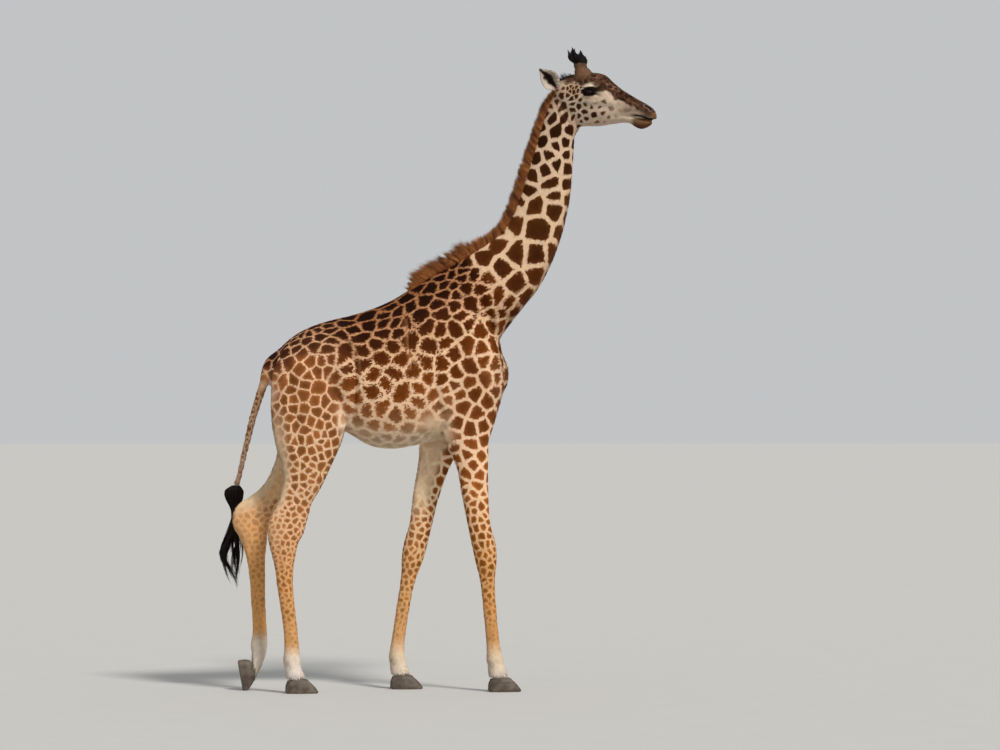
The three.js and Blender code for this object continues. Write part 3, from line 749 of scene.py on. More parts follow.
def refine(piece, centre, radius):
    """Splits the faces within a radius of a place in two each way."""
    pick(piece)
    gap = np.linalg.norm(points_of(piece) - to_metres(centre), axis=1) / MM
    piece.data.vertices.foreach_set("select", gap < radius)
    bpy.ops.object.mode_set(mode="EDIT")
    bpy.ops.mesh.select_mode(type="VERT")
    bpy.ops.mesh.subdivide(number_cuts=1, smoothness=0)
    bpy.ops.object.mode_set(mode="OBJECT")


def clear_selection(piece):
    for part in (piece.data.vertices, piece.data.edges, piece.data.polygons):
        part.foreach_set("select", np.zeros(len(part), bool))


def finish_skin(piece):
    clear_selection(piece)
    surface = Surface(piece)
    normals = surface.normals()
    fill_creases(surface, normals, 40, 3.0)
    surface.even_out(4)
    surface.write()
    for sign in SIDES.values():
        clear_selection(piece)
        refine(piece, head_point(EYE["u"], sign * 100, EYE["v"]), 52)
        clear_selection(piece)
        refine(piece, head_point(556, sign * 44, -112), 44)
    surface = Surface(piece)
    carve_body(surface, surface.normals())
    carve_legs(surface, surface.normals())
    surface.even_out(3)
    carve_head(surface, surface.normals())
    for sign in SIDES.values():
        carve_lids(surface, sign)
    surface.write()
    piece.data.shade_smooth()
    return surface


skin = make_skin()
surface = finish_skin(skin)

# ------------------------------------------------------------------- lie of coat and marks

# Where each member's hair lies to: 1 along its sections, -1 against them; and how far down.
LIES = {"trunk": (-1, 0.3), "neck": (-1, 0), "head": (-1, 0.1), "leg": (1, 0), "tail": (1, 0),
        "ear": (1, 0)}
# The straight line that the hair streaks of each member run along.
STREAKS = {"trunk": (1, 0, 0.12), "neck": (0.45, 0, 0.9), "head": (0.83, -0.36, -0.42),
           "leg": (0.06, 0, 1), "tail": (0.3, -0.3, 0.9), "ear": (0.3, 0.3, 0.9)}
# Markings down each part: place, pitch of the patches, width of the lines between them,
# strength, patch colour and ground colour. The trunk goes by height from belly to spine.
BARREL = [
    [0, 84, 30, 0.4, "ad8149", "f4dcc0"], [0.06, 88, 27, 0.6, "9b6831", "f0d6b8"],
    [0.16, 98, 25, 0.9, "804a1d", "deba98"], [0.32, 112, 20, 1, "6d3912", "d8b593"],
    [0.52, 114, 18, 1, "582a0b", "d0ac88"], [0.7, 100, 11, 1, "401c06", "c0946f"],
    [0.84, 78, 7, 1, "220c03", "a87753"], [1, 66, 5, 1, "190802", "8e5a37"],
]
RUMP = [
    [0, 64, 13, 0.5, "9e6d4b", "cbae92"], [0.2, 64, 10.5, 1, "8f5936", "cdaa8a"],
    [0.42, 64, 9.5, 1, "83512f", "cba27a"], [0.62, 62, 9, 1, "673a20", "cca688"],
    [0.82, 56, 8, 1, "3e2111", "bf9572"], [1, 52, 6.5, 1, "26110b", "aa7853"],
]
NECK_MARKS = [
    [2300, 108, 22, 1, "572b0c", "cdae8c"], [2650, 118, 26, 1, "4a2309", "cbaa89"],
    [2850, 128, 33, 1, "452108", "ccac8d"], [3050, 122, 34, 1, "46240a", "ceae8e"],
    [3250, 102, 32, 1, "3c1d08", "ccae90"], [3450, 86, 29, 1, "2f1706", "c8aa8f"],
    [3620, 72, 24, 1, "291305", "c0a68c"], [3740, 60, 20, 1, "361d0b", "b59b84"],
    [3900, 50, 17, 0.9, "3c240f", "ac9682"],
]
LEG_MARKS = {
    "fore": [
        [100, 26, 18, 0, "a67c4d", "cdbfb2"], [230, 26, 17, 0.1, "a67c4d", "cfb99c"],
        [340, 29, 15, 0.65, "9e6a37", "bb8b59"], [560, 33, 14, 1, "94602a", "c18f5c"],
        [800, 41, 14, 1, "8d551e", "cb9c6a"], [1000, 44, 14, 1, "824c1c", "d0a87f"],
        [1250, 54, 17, 1, "864c20", "e2bb95"], [1500, 74, 23, 1, "7f471e", "e6c09d"],
        [1720, 88, 21, 1, "6f3c18", "dcb896"], [2000, 98, 18, 1, "5f3113", "d0ab87"],
    ],
    "hind": [
        [100, 26, 18, 0, "a67d58", "d3c8bf"], [225, 26, 17, 0.1, "a67d58", "d3c4b3"],
        [320, 29, 15, 0.6, "a06d3e", "c0935f"], [520, 31, 14, 0.95, "9a6432", "c1915f"],
        [780, 31, 12.5, 1, "966130", "cb9967"], [1040, 35, 12, 1, "936035", "d0a581"],
        [1300, 46, 13, 1, "8e5b32", "d5b08d"], [1600, 58, 12, 1, "83512b", "d9b491"],
        [2000, 66, 10, 1, "7b4823", "d3ab8a"],
    ],
}
TAIL_MARKS = [[1300, 26, 15, 0.4, "6e4925", "b0937a"], [1500, 30, 14, 0.9, "8a592d", "cbab91"],
              [2150, 40, 13, 1, "834f22", "c9a27c"]]


def sections():
    """Middle, size and lie of the hair at every section, by member."""
    rings = {
        "trunk": [trunk_rings(0, 3)], "neck": [neck_rings(0, 4)[12:]],
        "head": [head_rings(SKULL, 0, 4), head_rings(LOWER_JAW, 0, 4)],
        **{f"leg_{kind}_{side}": [leg_rings(kind, side, 0, 3)[6:]]
           for kind, side in itertools.product(LEG_KINDS, SIDES)},
        "tail": [tube_rings(TAIL)[8:]],
        **{f"ear_{side}": [ear_rings(side, 0, 3)[4:]] for side in SIDES},
    }
    found = []
    for name, groups in rings.items():
        way, down = LIES[name.split("_")[0]]
        for group in groups:
            group = np.array(group)
            middle = group.mean(1)
            size = np.linalg.norm(group - middle[:, None], axis=2).mean(1)
            run = unit(np.gradient(middle, axis=0)) * way - [0, 0, down]
            place = np.linspace(0, 1, len(middle))
            found.append((name, middle, size, unit(run), place))
    return found


SECTIONS = sections()
MEMBERS = list(dict.fromkeys(name for name, *_ in SECTIONS))


def nearest_section(points):
    """For each point: member, share of the way along it, lie of the hair, and its middle."""
    middle, size, lie, along = (np.concatenate([s[k] for s in SECTIONS]) for k in (1, 2, 3, 4))
    member = np.concatenate([np.full(len(s[1]), MEMBERS.index(s[0])) for s in SECTIONS])
    nearest = np.empty(len(points), int)
    batch = 8000  # points at a time, to keep the table of distances small
    for start in range(0, len(points), batch):
        part = points[start : start + batch]
        gap = ((part**2).sum(1)[:, None] + (middle**2).sum(1) - 2 * part @ middle.T) / size**2
        nearest[start : start + batch] = gap.argmin(1)
    return member[nearest], along[nearest], lie[nearest], middle[nearest]


def read_marks(rows, at):
    """Pitch, line, strength, patch and ground colour, read off a list at places on it."""
    numbers = np.array([row[:4] for row in rows], float)
    patch = np.array([linear(row[4]) for row in rows])
    ground = np.array([linear(row[5]) for row in rows])
    table = np.hstack([numbers[:, 1:], patch, ground])
    return np.stack([np.interp(at, numbers[:, 0], column) for column in table.T], 1)


# Columns of a table of marks: the patches' pitch, the width and strength of the lines
# between them, and the colours of the patches and of the ground.
PITCH, WIDTH, STRENGTH, PATCH, GROUND = 0, 1, 2, slice(3, 6), slice(6, 9)
BOTH_COLOURS = slice(3, 9)


def layers(base, *coats):
    """A colour with others, as codes or rows and their weights, laid over it in turn."""
    for colour, weight in coats:
        colour = linear(colour) if isinstance(colour, str) else colour
        base = base + (colour - base) * weight[:, None]
    return base


def tint(marks, part, *coats):
    marks[:, part] = layers(marks[:, part], *coats)


def trunk_height(x, z):
    rows = smooth_rows(TRUNK, 6, [0])
    top = np.interp(x, rows[:, 0], rows[:, 1])
    top = np.where(x > 60, 2760 + 1.2 * (x - 60), top)
    low = np.interp(x, rows[:, 0], rows[:, 2])
    low = np.where(x > 200, 1722, low)
    return (z - low) / (top - low)


def leg_marks(points, normals, kind, side):
    """The markings of one leg, which fade on its inner face."""
    x, _, z = points.T
    leg = read_marks(LEG_MARKS[kind], z)
    middle, depth = leg_profile(kind, side, 3, z)
    front = np.clip((x - middle) / depth, -1, 1)
    outward = normals[:, 1] * SIDES[side]
    inner = ramp(outward, 0.15, -0.45) * ramp(z, 1950, 1700)
    high = ramp(z, 1080, 1300)
    leg[:, STRENGTH] *= 1 - inner * ramp(front, 0.45, 0.0) * (0.1 + 0.7 * high)
    pale = inner * (0.1 + 0.8 * high)
    if kind == "fore":
        tint(leg, GROUND, ("ecd2ae", pale))
        return leg
    faint = ramp(outward, 0.1, -0.4) * ramp(z, 1300, 1050)
    leg[:, STRENGTH] *= 1 - 0.4 * faint
    tint(leg, GROUND, ("dea25c", faint * 0.6 * ramp(z, 330, 420)), ("dfb687", pale))
    if side == "left":
        sock = ramp(z, 400, 300)
        leg[:, STRENGTH] *= 1 - sock
        tint(leg, GROUND, ("d0c2b0", sock))
    rear = ramp(front, -0.5, -0.9) * ramp(z, 1080, 1250) * ramp(z, 1900, 1600)
    hock = bell((z - 1010, 90)) * ramp(front, 0.1, -0.6)
    leg[:, STRENGTH] *= 1 - 0.8 * rear
    leg[:, STRENGTH] *= 1 - 0.35 * hock
    tint(leg, GROUND, ("cfb695", rear * 0.8), ("d2a678", hock * 0.6))
    return leg


# Rib and hip crests: each gets a painted highlight along it and a painted shade line in the fold
# just behind it.
PAINTED_LIGHT_CRESTS = ([(-222, 2400), (-218, 2230), (-200, 2080)],
               [(-590, 2270), (-528, 2150), (-520, 1900)])


def body_marks(points, normals, shares):
    """The markings of the body, neck, legs and tail; shares is how far each point belongs
    to each member."""
    x, _, z = points.T
    height = np.maximum(trunk_height(x, z), 0.26 * ramp(x, 20, 150))
    rump = ramp(x, -520, -860)[:, None]
    trunk = read_marks(BARREL, height) * (1 - rump) + read_marks(RUMP, height) * rump
    shade = noise_at(points, 260, 0.5)
    trunk[:, PITCH] *= (1 + 0.16 * shade) * (1 - 0.2 * ramp(x, -160, 0))
    trunk[:, WIDTH] *= 1 - 0.15 * ramp(x, -160, 0)
    trunk[:, PATCH] *= 1 - np.array([0.14, 0.2, 0.3]) * ramp(x, -120, 60)[:, None]
    neck = read_marks(NECK_MARKS, z)
    throat = ramp(normals[:, 0], 0.45, 0.9)
    tint(neck, PATCH, ("6d4021", 0.55 * throat * ramp(z, 3500, 3100)))
    tint(neck, GROUND, ("b7a08a", 0.6 * throat * ramp(z, 3450, 3600)))
    found = {"trunk": trunk, "neck": neck, "tail": read_marks(TAIL_MARKS, z)}
    for kind, side in itertools.product(LEG_KINDS, SIDES):
        found[f"leg_{kind}_{side}"] = leg_marks(points, normals, kind, side)
    marks = sum(shares[:, [MEMBERS.index(name)]] * each for name, each in found.items())
    armpit = bell((distance_to(x, z, [(-70, 1760), (30, 1650)]), 52)) * ramp(z, 1860, 1720)
    marks[:, STRENGTH] *= 1 - 0.85 * armpit
    tint(marks, GROUND, ("d3b793", armpit * 0.7))
    flat = ramp(np.abs(normals[:, 1]), 0.3, 0.7)
    # Painted light on the flanks: a warm painted highlight on each crest, then the painted shade
    # of its fold, 15 mm behind.
    for path in PAINTED_LIGHT_CRESTS:
        tint(marks, PATCH, ("b07748", bell((distance_to(x, z, path), 10)) * flat * 0.35))
        # The painted shade line in the fold darkens patch and ground alike.
        painted_fold_shade = bell((distance_to(x - 15, z, path), 4.5)) * flat
        marks[:, BOTH_COLOURS] *= 1 - 0.65 * painted_fold_shade[:, None]
    return marks


def noise_at(points, size, detail):
    """Soft noise from -1 to 1 with lumps of a size in millimetres."""
    scale = 1 / size
    coarse, fine = ([noise.noise(Vector(p)) for p in places.tolist()]
                    for places in (points * scale, points * scale * 2.3 + 9))
    return np.clip((np.array(coarse) + detail * np.array(fine)) * 1.5, -1, 1)


# Where the dark band over the forehead and nose ends, by u and v.
BAND_EDGE = np.array([
    [-60, 80], [60, 80], [120, 60], [180, 46], [240, 28], [290, 0], [340, -42], [400, -76],
    [470, -112], [520, -128], [600, -156]], float)


def head_marks(points):
    """The markings of the head, in its own frame."""
    u, side, v = head_frame(points)
    out = np.abs(side)
    lumps, specks = noise_at(points, 62, 0.7), noise_at(points, 21, 0.6)
    marks = np.empty((len(u), 9))
    temple = bell((u - 70, 62), (v - 22, 58))
    low_on_cheek = ramp(v + 16 * lumps, -46, -70)
    pitch = 39 - 15 * temple + 22 * ramp(u, 40, -60) + 15 * low_on_cheek * ramp(u, 100, 180)
    line = 0.38 + 0.12 * ramp(u, 90, 150) + 0.12 * ramp(u, 250, 330)
    spots = ramp(u, 425, 340) * low_on_cheek + ramp(u, 150, 128) * (1 - low_on_cheek)
    spots = np.clip(spots, 0, 1) * ramp(v, 88, 60) * ramp(out, 18, 40)
    spots *= 1 - 0.45 * ramp(u, 250, 380)
    marks[:, PATCH] = layers(linear("3a2114"), ("6b564a", ramp(u, 240, 360)))

    band_edge = np.interp(u, *BAND_EDGE.T)
    band = ramp(v - band_edge + 17 * lumps, -9, 9) * ramp(u, -40, 30)
    light = ramp(specks, -0.15, -0.7) * (0.3 + 0.55 * ramp(lumps, 0.1, -0.5))
    brown = layers(linear("432b1d"), ("27150c", ramp(specks, 0.0, 0.5)),
                   ("86674f", light * (0.85 - 0.45 * ramp(u, 380, 480))),
                   ("7d5c44", bell((u - 84, 44), (v - 106, 34)) * 0.5))
    nose_side = ramp(u, 340, 430) * (1 - band) * ramp(v, -152, -112)
    muzzle = ramp(u, 490, 545)
    tip = ramp(u, 574, 596) * ramp(v, -176, -164) * ramp(v, -128, -140)
    lower_lip = ramp(u, 430, 470) * ramp(v, -160, -174)
    ground = layers(
        linear("bca893"),
        ("bda791", ramp(v, -50, -130) * ramp(u, 80, 160) * ramp(u, 420, 330)),
        ("a98c74", ramp(u, 20, -60)),
        ("b98e69", temple * 0.7),
        (brown, band),
        ("6f5341", nose_side * (0.65 + 0.35 * ramp(lumps, -0.4, 0.4))),
        ("4e3729", muzzle * ramp(v, -172, -158) * 0.9),
        ("2c1b14", muzzle * ramp(v, -140, -120) * ramp(specks, -0.4, 0.3) * 0.85),
        ("74502f", tip * 0.8),
        ("644a33", lower_lip),
        ("4f3526", lower_lip * ramp(v, -192, -216)),
        ("6a4526", lower_lip * bell((u - 548, 24)) * 0.7),
    )
    black = 0 * u
    for sign in SIDES.values():
        way, ahead, above = eye_axes(sign)
        arm = points - eye_centre(sign)
        along, up = arm @ ahead, arm @ above
        on_side = arm @ way > 0
        pale_lid = bell((distance_to(along, up, [(-52, 14), (-34, 34), (-6, 42), (14, 38)]), 9))
        pale = bell((up + 40, 22), (along - 24, 80)) * on_side
        ground = layers(ground, ("cdbba8", on_side * pale_lid * 0.9), ("b39c87", pale * 0.8))
        rim = np.hypot(along / 63, (up + 1 - 0.10 * along) / 32)
        front, back = (ramp(distance_to(along, up, path), 12, 5)
                       for path in ([(40, 6), (66, 12)], [(-40, -6), (-64, -22)]))
        for dark in (ramp(rim + 0.05 * specks, 1.1, 0.9), front * 0.85, back * 0.7):
            black = np.maximum(black, on_side * dark)
    slit, lips = distance_to(u, v, NOSTRIL), distance_to(u, v, LIP_LINE)
    horn_base = ramp(np.hypot(u - 116, out - 44), 70, 46)
    poll = ramp(u, 50, 14) * ramp(v, 76, 98) * ramp(out, 66, 40)
    marks[:, GROUND] = layers(
        ground,
        ("17100c", black),
        ("80695a", bell((slit - 9, 4)) * ramp(out, 14, 30) * 0.45),
        # Painted shade in the hollows of the nostril slits and in the groove between the lips.
        ("150c08", ramp(slit, 6.5, 3) * ramp(out, 14, 26)),
        ("22140d", ramp(lips, 8, 3.5) * ramp(u, 430, 470)),
        ("6b4f3b", horn_base * ramp(v, 92, 118) * 0.8),
        ("2b1a12", poll * 0.85),
    )
    marks[:, PITCH], marks[:, WIDTH] = pitch, pitch * line - 5 * temple
    marks[:, STRENGTH] = spots * ((1 - band) * (1 - black))
    return marks


def ear_marks(points, side):
    """A pale ear with a dark rim, and a painted shadow of its canal as a dark band down its open
    side.
    """
    root, axis, facing, across = ear_axes(side)
    arm = points - root
    along = arm @ axis / EAR["length"]
    half = read_evenly(EAR["half_widths"], along)
    share = np.clip(arm @ across / half, -1.2, 1.2)
    bow = EAR["cup"] * half * ((np.clip(share, -1, 1)) ** 2 - 0.5)
    inside = ramp(arm @ facing - bow, -4, 3)
    specks = noise_at(points, 24, 0.5)
    ahead = share * front_of_ear(across, side)
    # The band is painted shadow of the ear's canal, down the middle of the open side.
    band = np.exp(-(((ahead - 0.06 + 0.14 * specks) / 0.42) ** 8)) * ramp(along, -0.05, 0.08)
    rim = ramp(np.abs(share), 0.86, 1.0) * ramp(along, 0.25, 0.6)
    rim = np.maximum(rim, ramp(along, 0.86, 0.97))
    marks = np.zeros((len(points), 9))
    marks[:, [PITCH, WIDTH, STRENGTH]] = 40, 20, 0
    marks[:, PATCH] = linear("452a1a")
    marks[:, GROUND] = layers(
        linear("9a8a7b"),
        ("bcae9f", inside),
        # Painted canal shadow inside the cup.
        ("1d130f", band * inside),
        ("3d3029", rim * 0.85),
        ("54473c", ramp(along, 0.22, 0.05) * inside * 0.6),
    )
    return marks


def spaced_seeds(points, lie, pitch, stretch):
    """Points picked at random so that none is nearer to another than its pitch asks."""
    free = np.ones(len(points), bool)
    order = random.permutation(len(points))
    reach = random.uniform(0.62, 1.06, len(points)) * pitch
    seeds = []
    for index in order:
        if free[index]:
            gap = warped_gap(points, points[index], lie[index], stretch[index])
            free &= gap > reach[index] ** 2
            seeds.append(index)
    return np.array(seeds)


def warped_gap(points, seed, lie, stretch):
    """Squared distance from a place, shorter along the lie where patches are long."""
    arm = points - seed
    along = arm @ lie if lie.ndim == 1 else (arm * lie).sum(1)
    return (arm**2).sum(1) + (stretch**2 - 1) * along**2


CLASSES = 6


def colour_classes(near):
    """Classes for the seeds so that those near each other, given as rows, differ."""
    count = near.max() + 1
    linked = [set() for _ in range(count)]
    for row in np.unique(np.sort(near, axis=1), axis=0):
        for a in row:
            linked[a].update(int(b) for b in row if b != a)
    left = {k: set(others) for k, others in enumerate(linked)}
    order = []
    while left:
        least = min(left, key=lambda k: len(left[k]))
        order.append(least)
        for other in left.pop(least):
            if other in left:
                left[other].discard(least)
    classes = np.full(count, -1)
    for k in reversed(order):
        used = [classes[other] for other in linked[k]]
        spare = [c for c in range(CLASSES) if c not in used]
        rarest = np.bincount([c for c in used if c >= 0], minlength=CLASSES)
        classes[k] = spare[0] if spare else np.argmin(rarest)
    return classes


def cells(points, lie, marks, stretch):
    """Distances to the nearest seed of each class, and each point's own seed."""
    pitch = marks[:, PITCH]
    seeds = spaced_seeds(points, lie, pitch, stretch)
    places = points[seeds] + random.normal(0, 0.06, (len(seeds), 3)) * pitch[seeds, None]
    gaps = np.empty((len(points), len(seeds)), np.float32)
    for k, place in enumerate(places):
        gaps[:, k] = warped_gap(points, place, lie, stretch)
    nearest = np.argpartition(gaps, 3, axis=1)[:, :3]
    classes = colour_classes(nearest)
    distances = [np.sqrt(gaps[:, classes == c].min(1)) for c in range(CLASSES)]
    return np.stack(distances, 1), gaps.argmin(1), len(seeds)


def mark_skin(surface):
    """All that the coat's material reads, at each point of the skin."""
    points, normals = surface.points, surface.normals()
    member, along, lie, middle = nearest_section(points)
    shares = surface.soften(np.eye(len(MEMBERS))[member], 10)
    marks = body_marks(points, normals, shares)
    marks += shares[:, [MEMBERS.index("head")]] * head_marks(points)
    for side in SIDES:
        marks += shares[:, [MEMBERS.index(f"ear_{side}")]] * ear_marks(points, side)
    lie = surface.soften(lie, 14)
    lie = unit(lie - normals * (lie * normals).sum(1, keepdims=True))
    x, _, z = points.T
    trunk, neck = (shares[:, MEMBERS.index(name)] for name in ("trunk", "neck"))
    high = ramp(trunk_height(x, z), 0.62, 0.86)
    stretch = 1 - 0.34 * trunk * high * ramp(x, -950, -700)
    stretch -= 0.16 * trunk * ramp(x, -600, -800)
    stretch -= 0.26 * neck * ramp(z, 3480, 3640)
    distances, own, count = cells(points, lie, marks, stretch)
    ragged = trunk * (1 - 0.2 * ramp(x, -650, -850)) + neck * (0.85 - 0.6 * ramp(z, 2500, 3000))
    ragged += 0.6 * (1 - trunk - neck)
    axis = np.array([unit(np.array(STREAKS[name.split("_")[0]], float)) for name in MEMBERS])
    axis = axis[member]
    return {
        "cells_a": distances[:, :3], "cells_b": distances[:, 3:], "patch": marks[:, PATCH],
        "ground": marks[:, GROUND], "mark": marks[:, [WIDTH, STRENGTH, PITCH]],
        "tone": random.random(count)[own], "ragged": ragged, "place": points,
        "strand": points - 0.88 * axis * (points * axis).sum(1, keepdims=True),
        "lie": lie, "normal": normals, "member": member, "along": along, "middle": middle,
    }


COAT_VALUES = {"cells_a": "FLOAT_VECTOR", "cells_b": "FLOAT_VECTOR", "patch": "FLOAT_COLOR",
               "ground": "FLOAT_COLOR", "mark": "FLOAT_VECTOR", "tone": "FLOAT", "ragged": "FLOAT",
               "place": "FLOAT_VECTOR", "strand": "FLOAT_VECTOR"}
marked = mark_skin(surface)

# ------------------------------------------------------------------------ small pieces

HORN_STEM_FROM = 110
HORN_STEM_TOP = [84, 70, 207, 18]  # hidden in the tuft
CLAW_SECTION = {"middle": 0.52, "full_toe": 1.75, "full_heel": 2.05, "sides": 40}


def horn_piece(side):
    stem = [row for row in HORN if HORN_STEM_FROM < row[2] < HORN_TUFT_FROM] + [HORN_STEM_TOP]
    return loft(f"horn_stem_{side}", tube_rings(head_rows(stem, side), -1.0, sides=40))


def claw_piece(name, foot, in_or_out, pitch):
    """One claw on a foot, tipped forward by pitch, with no point below the floor."""
    rings = []
    for toe, heel, height, w in smooth_rows(CLAW["levels"], 6, [2]):
        low = height - CLAW["heel_drop"] * ramp(height, 35, 80)
        rings.append(ring((toe, height), (heel, low), in_or_out * CLAW["out"], w,
                          *CLAW_SECTION.values()))
    points = np.array(rings)
    points[..., 2] -= CLAW["coronet"]
    cos, sin = math.cos(pitch), math.sin(pitch)
    x, z = points[..., 0].copy(), points[..., 2].copy()
    points[..., 0] = x * cos + z * sin
    points[..., 2] = z * cos - x * sin
    points += foot
    points[..., 2] = np.maximum(points[..., 2], 0)
    return loft(name, points)


def foot_point(kind, side):
    """Where a leg ends, at the top of its hoof."""
    legs = LEG_KINDS[kind]
    x, z = legs[side][-1]
    return np.array([x, SIDES[side] * legs["shape"][-1][2], z])


horns = {side: horn_piece(side) for side in SIDES}
eyes = {side: ball(f"eyeball_{side}", eye_centre(sign), [EYE["radius"]] * 3, 64, 40)
        for side, sign in SIDES.items()}
hooves = {}
for kind, side, place in itertools.product(LEG_KINDS, SIDES, ("outer", "inner")):
    in_or_out = SIDES[side] if place == "outer" else -SIDES[side]
    foot, sole_pitch = foot_point(kind, side), LEG_KINDS[kind]["sole_pitch"][side]
    name = f"{kind}_{side}_{place}"
    hooves[name] = claw_piece(f"claw_{name}", foot, in_or_out, sole_pitch)

# ---------------------------------------------------------------------------------- hair

LOCK_SIDES = 3
BAKE_PATCH = 0.003


def mesh_of(name, points, faces):
    """A mesh from arrays of points, in millimetres, and of triangles."""
    mesh = bpy.data.meshes.new(name)
    mesh.vertices.add(len(points))
    mesh.vertices.foreach_set("co", to_metres(points).ravel())
    mesh.loops.add(faces.size)
    mesh.loops.foreach_set("vertex_index", faces.ravel())
    mesh.polygons.add(len(faces))
    mesh.polygons.foreach_set("loop_start", np.arange(0, faces.size, LOCK_SIDES))
    mesh.update(calc_edges=True)
    mesh.validate()
    piece = bpy.data.objects.new(name, mesh)
    bpy.context.scene.collection.objects.link(piece)
    return piece


def write_values(piece, name, kind, values):
    """A named attribute at each point; kind is FLOAT, FLOAT_VECTOR or FLOAT_COLOR."""
    field = piece.data.attributes.new(name, kind, "POINT")
    values = np.asarray(values, float)
    if kind == "FLOAT_COLOR":
        values = np.hstack([values[:, :3], np.ones((len(values), 1))])
    word = {"FLOAT": "value", "FLOAT_VECTOR": "vector", "FLOAT_COLOR": "color"}[kind]
    field.data.foreach_set(word, values.ravel())


def lock_faces(count, levels):
    """Triangles of locks that each have rings of three points, from root to a tip."""
    faces = [(0, 1, 2)]
    for level in range(levels - 1):
        low, high = level * LOCK_SIDES, (level + 1) * LOCK_SIDES
        for k in range(LOCK_SIDES):
            after = (k + 1) % LOCK_SIDES
            faces += [(low + k, high + k, high + after), (low + k, high + after, low + after)]
    top, tip = (levels - 1) * LOCK_SIDES, levels * LOCK_SIDES
    faces += [(top + k, tip, top + (k + 1) % LOCK_SIDES) for k in range(LOCK_SIDES)]
    return (np.array(faces) + np.arange(count)[:, None, None] * (tip + 1)).reshape(-1, 3)


def per_point(values, levels):
    """A value of each lock given to all its points."""
    return np.repeat(values, levels * LOCK_SIDES + 1, axis=0)


def locks(name, paths, widths, flat, face_up, unwrap, tone=None):
    """Locks of hair along paths (lock, level, xyz), as wide as widths (lock, level).
    face_up (lock, xyz) is the way their flat side looks, and flat is how flat they are.
    The OFBake map has a small patch for each, at its root's place on the unwrap."""
    count, levels = len(paths), paths.shape[1] - 1
    run = unit(np.gradient(paths, axis=1))
    across = unit(np.cross(run, face_up[:, None, :]))
    over = np.cross(across, run)
    width = widths[..., None]
    corners = [paths + across * width / 2, paths + over * width * flat,
               paths - across * width / 2]
    body = np.stack(corners, 2)[:, :levels].reshape(count, levels * LOCK_SIDES, 3)
    points = np.concatenate([body, paths[:, levels:]], 1).reshape(-1, 3)
    piece = mesh_of(name, points, lock_faces(count, levels))
    height = np.append(np.repeat(np.arange(levels) / levels, LOCK_SIDES), 1.0)
    write_values(piece, "along", "FLOAT", np.tile(height, count))
    if tone is not None:
        write_values(piece, "tone", "FLOAT", per_point(tone, levels))
    corner = np.append(np.tile([0.0, 0.5, 1.0], levels), 0.5)
    places = np.stack([place[:, None] + (offset - 0.5) * BAKE_PATCH
                       for place, offset in zip(unwrap, (corner, height))], -1)
    used = np.empty(len(piece.data.loops), int)
    piece.data.loops.foreach_get("vertex_index", used)
    layer = piece.data.uv_layers.new(name="OFBake")
    layer.data.foreach_set("uv", places.reshape(-1, 2)[used].ravel())
    piece.data.shade_smooth()
    return piece


def wavering(at, count, seed):
    """Smooth random values from -1 to 1 along a line, count of them."""
    values = np.random.default_rng(seed).uniform(-1, 1, count + 1)
    return read_evenly(values, at)


def make_mane(count=8600, levels=4, brushes=58):
    """Short stiff locks up the nape, in ragged brushes over the withers."""
    start = [[x, z, 0] for x, z in MANE["start"]]
    rows = smooth_rows(start + [[r[0], r[1], r[8]] for r in NECK[1:]], 12, [0, 1])
    gaps = np.hypot(*np.diff(rows[:, :2], axis=0).T)
    share = np.append(0, np.cumsum(gaps)) / gaps.sum()
    at = np.sort(random.uniform(0.004, 0.985, count))
    step, flat = 0.004, np.zeros(count)
    x, z, turn = (np.interp(at, share, rows[:, k]) for k in range(3))
    ahead_x, ahead_z, behind_x, behind_z = (
        np.interp(at + way, share, rows[:, k]) for way in (step, -step) for k in range(2))
    run = unit(np.stack([ahead_x - behind_x, flat, ahead_z - behind_z], 1))
    out = np.stack([-run[:, 2], flat, run[:, 0]], 1)
    heights = read_evenly(MANE["heights"], at) + 30 * bell((at - 0.262, 0.022))
    shaggy = ramp(at, 0.36, 0.24)

    place = random.uniform(-1, 1, count)
    width = MANE["half_width"] * ramp(at, -0.06, 0.06) * (1.05 - 0.35 * ramp(at, 0.7, 1.0))
    roots = np.stack([x, place * width, z], 1) - out * (8 + 13 * place[:, None] ** 2)
    uneven = at + 0.007 * wavering(at, 34, 9)
    brush = np.floor(uneven * brushes + random.normal(0, 0.2, count))
    pull = ((brush + 0.5) / brushes - uneven) * shaggy
    swell = np.cos(np.pi * np.clip(pull * brushes, -1, 1)) * shaggy
    wave = wavering(at, 46, 3) + 0.9 * wavering(at, 230, 4)
    chance = (0.13 + 0.06 * shaggy) * random.uniform(-1, 0.8, count)
    length = heights * (0.9 + chance + (0.08 + 0.05 * shaggy) * wave + 0.13 * swell)
    length += 11 + 16 * random.random(count) ** 8 * (1 + shaggy)
    length *= 1 - 0.2 * place**2
    lean = 0.42 - 0.9 * shaggy + 0.2 * wave + random.normal(0, 0.12, count)
    sway = run * (lean * length + pull * 1500)[:, None]
    side = np.zeros((count, 3))
    side[:, 1] = place * 7 + random.normal(0, 3.2, count) + 4 * wave * shaggy
    t = np.linspace(0, 1, levels + 1)[None, :, None]
    paths = roots[:, None] + out[:, None] * (length[:, None, None] * t) * 0.98
    paths = paths + sway[:, None] * t**1.6 + side[:, None] * t**1.3
    for lock in np.flatnonzero(turn > 0):
        paths[lock] = turned(paths[lock], min(turn[lock], 1) * HEAD_TURN)
    widths = random.uniform(3.0, 5.4, count)[:, None] * [1.0, 0.9, 0.66, 0.34, 0.0]
    face_up = np.tile([0.0, 1.0, 0.0], (count, 1)) + random.normal(0, 0.35, (count, 3))
    bands = wavering(at + 0.01 * np.abs(place), 120, 6) + 0.7 * wavering(at, 44, 8)
    tone = 0.5 + 0.18 * shaggy + 0.42 * bands + random.normal(0, 0.18, count)
    unwrap = 0.01 + 0.13 * (place + 1) / 2, 0.52 + 0.46 * at
    return locks("mane", paths, widths, 0.25, unit(face_up), unwrap, np.clip(tone, 0, 1))


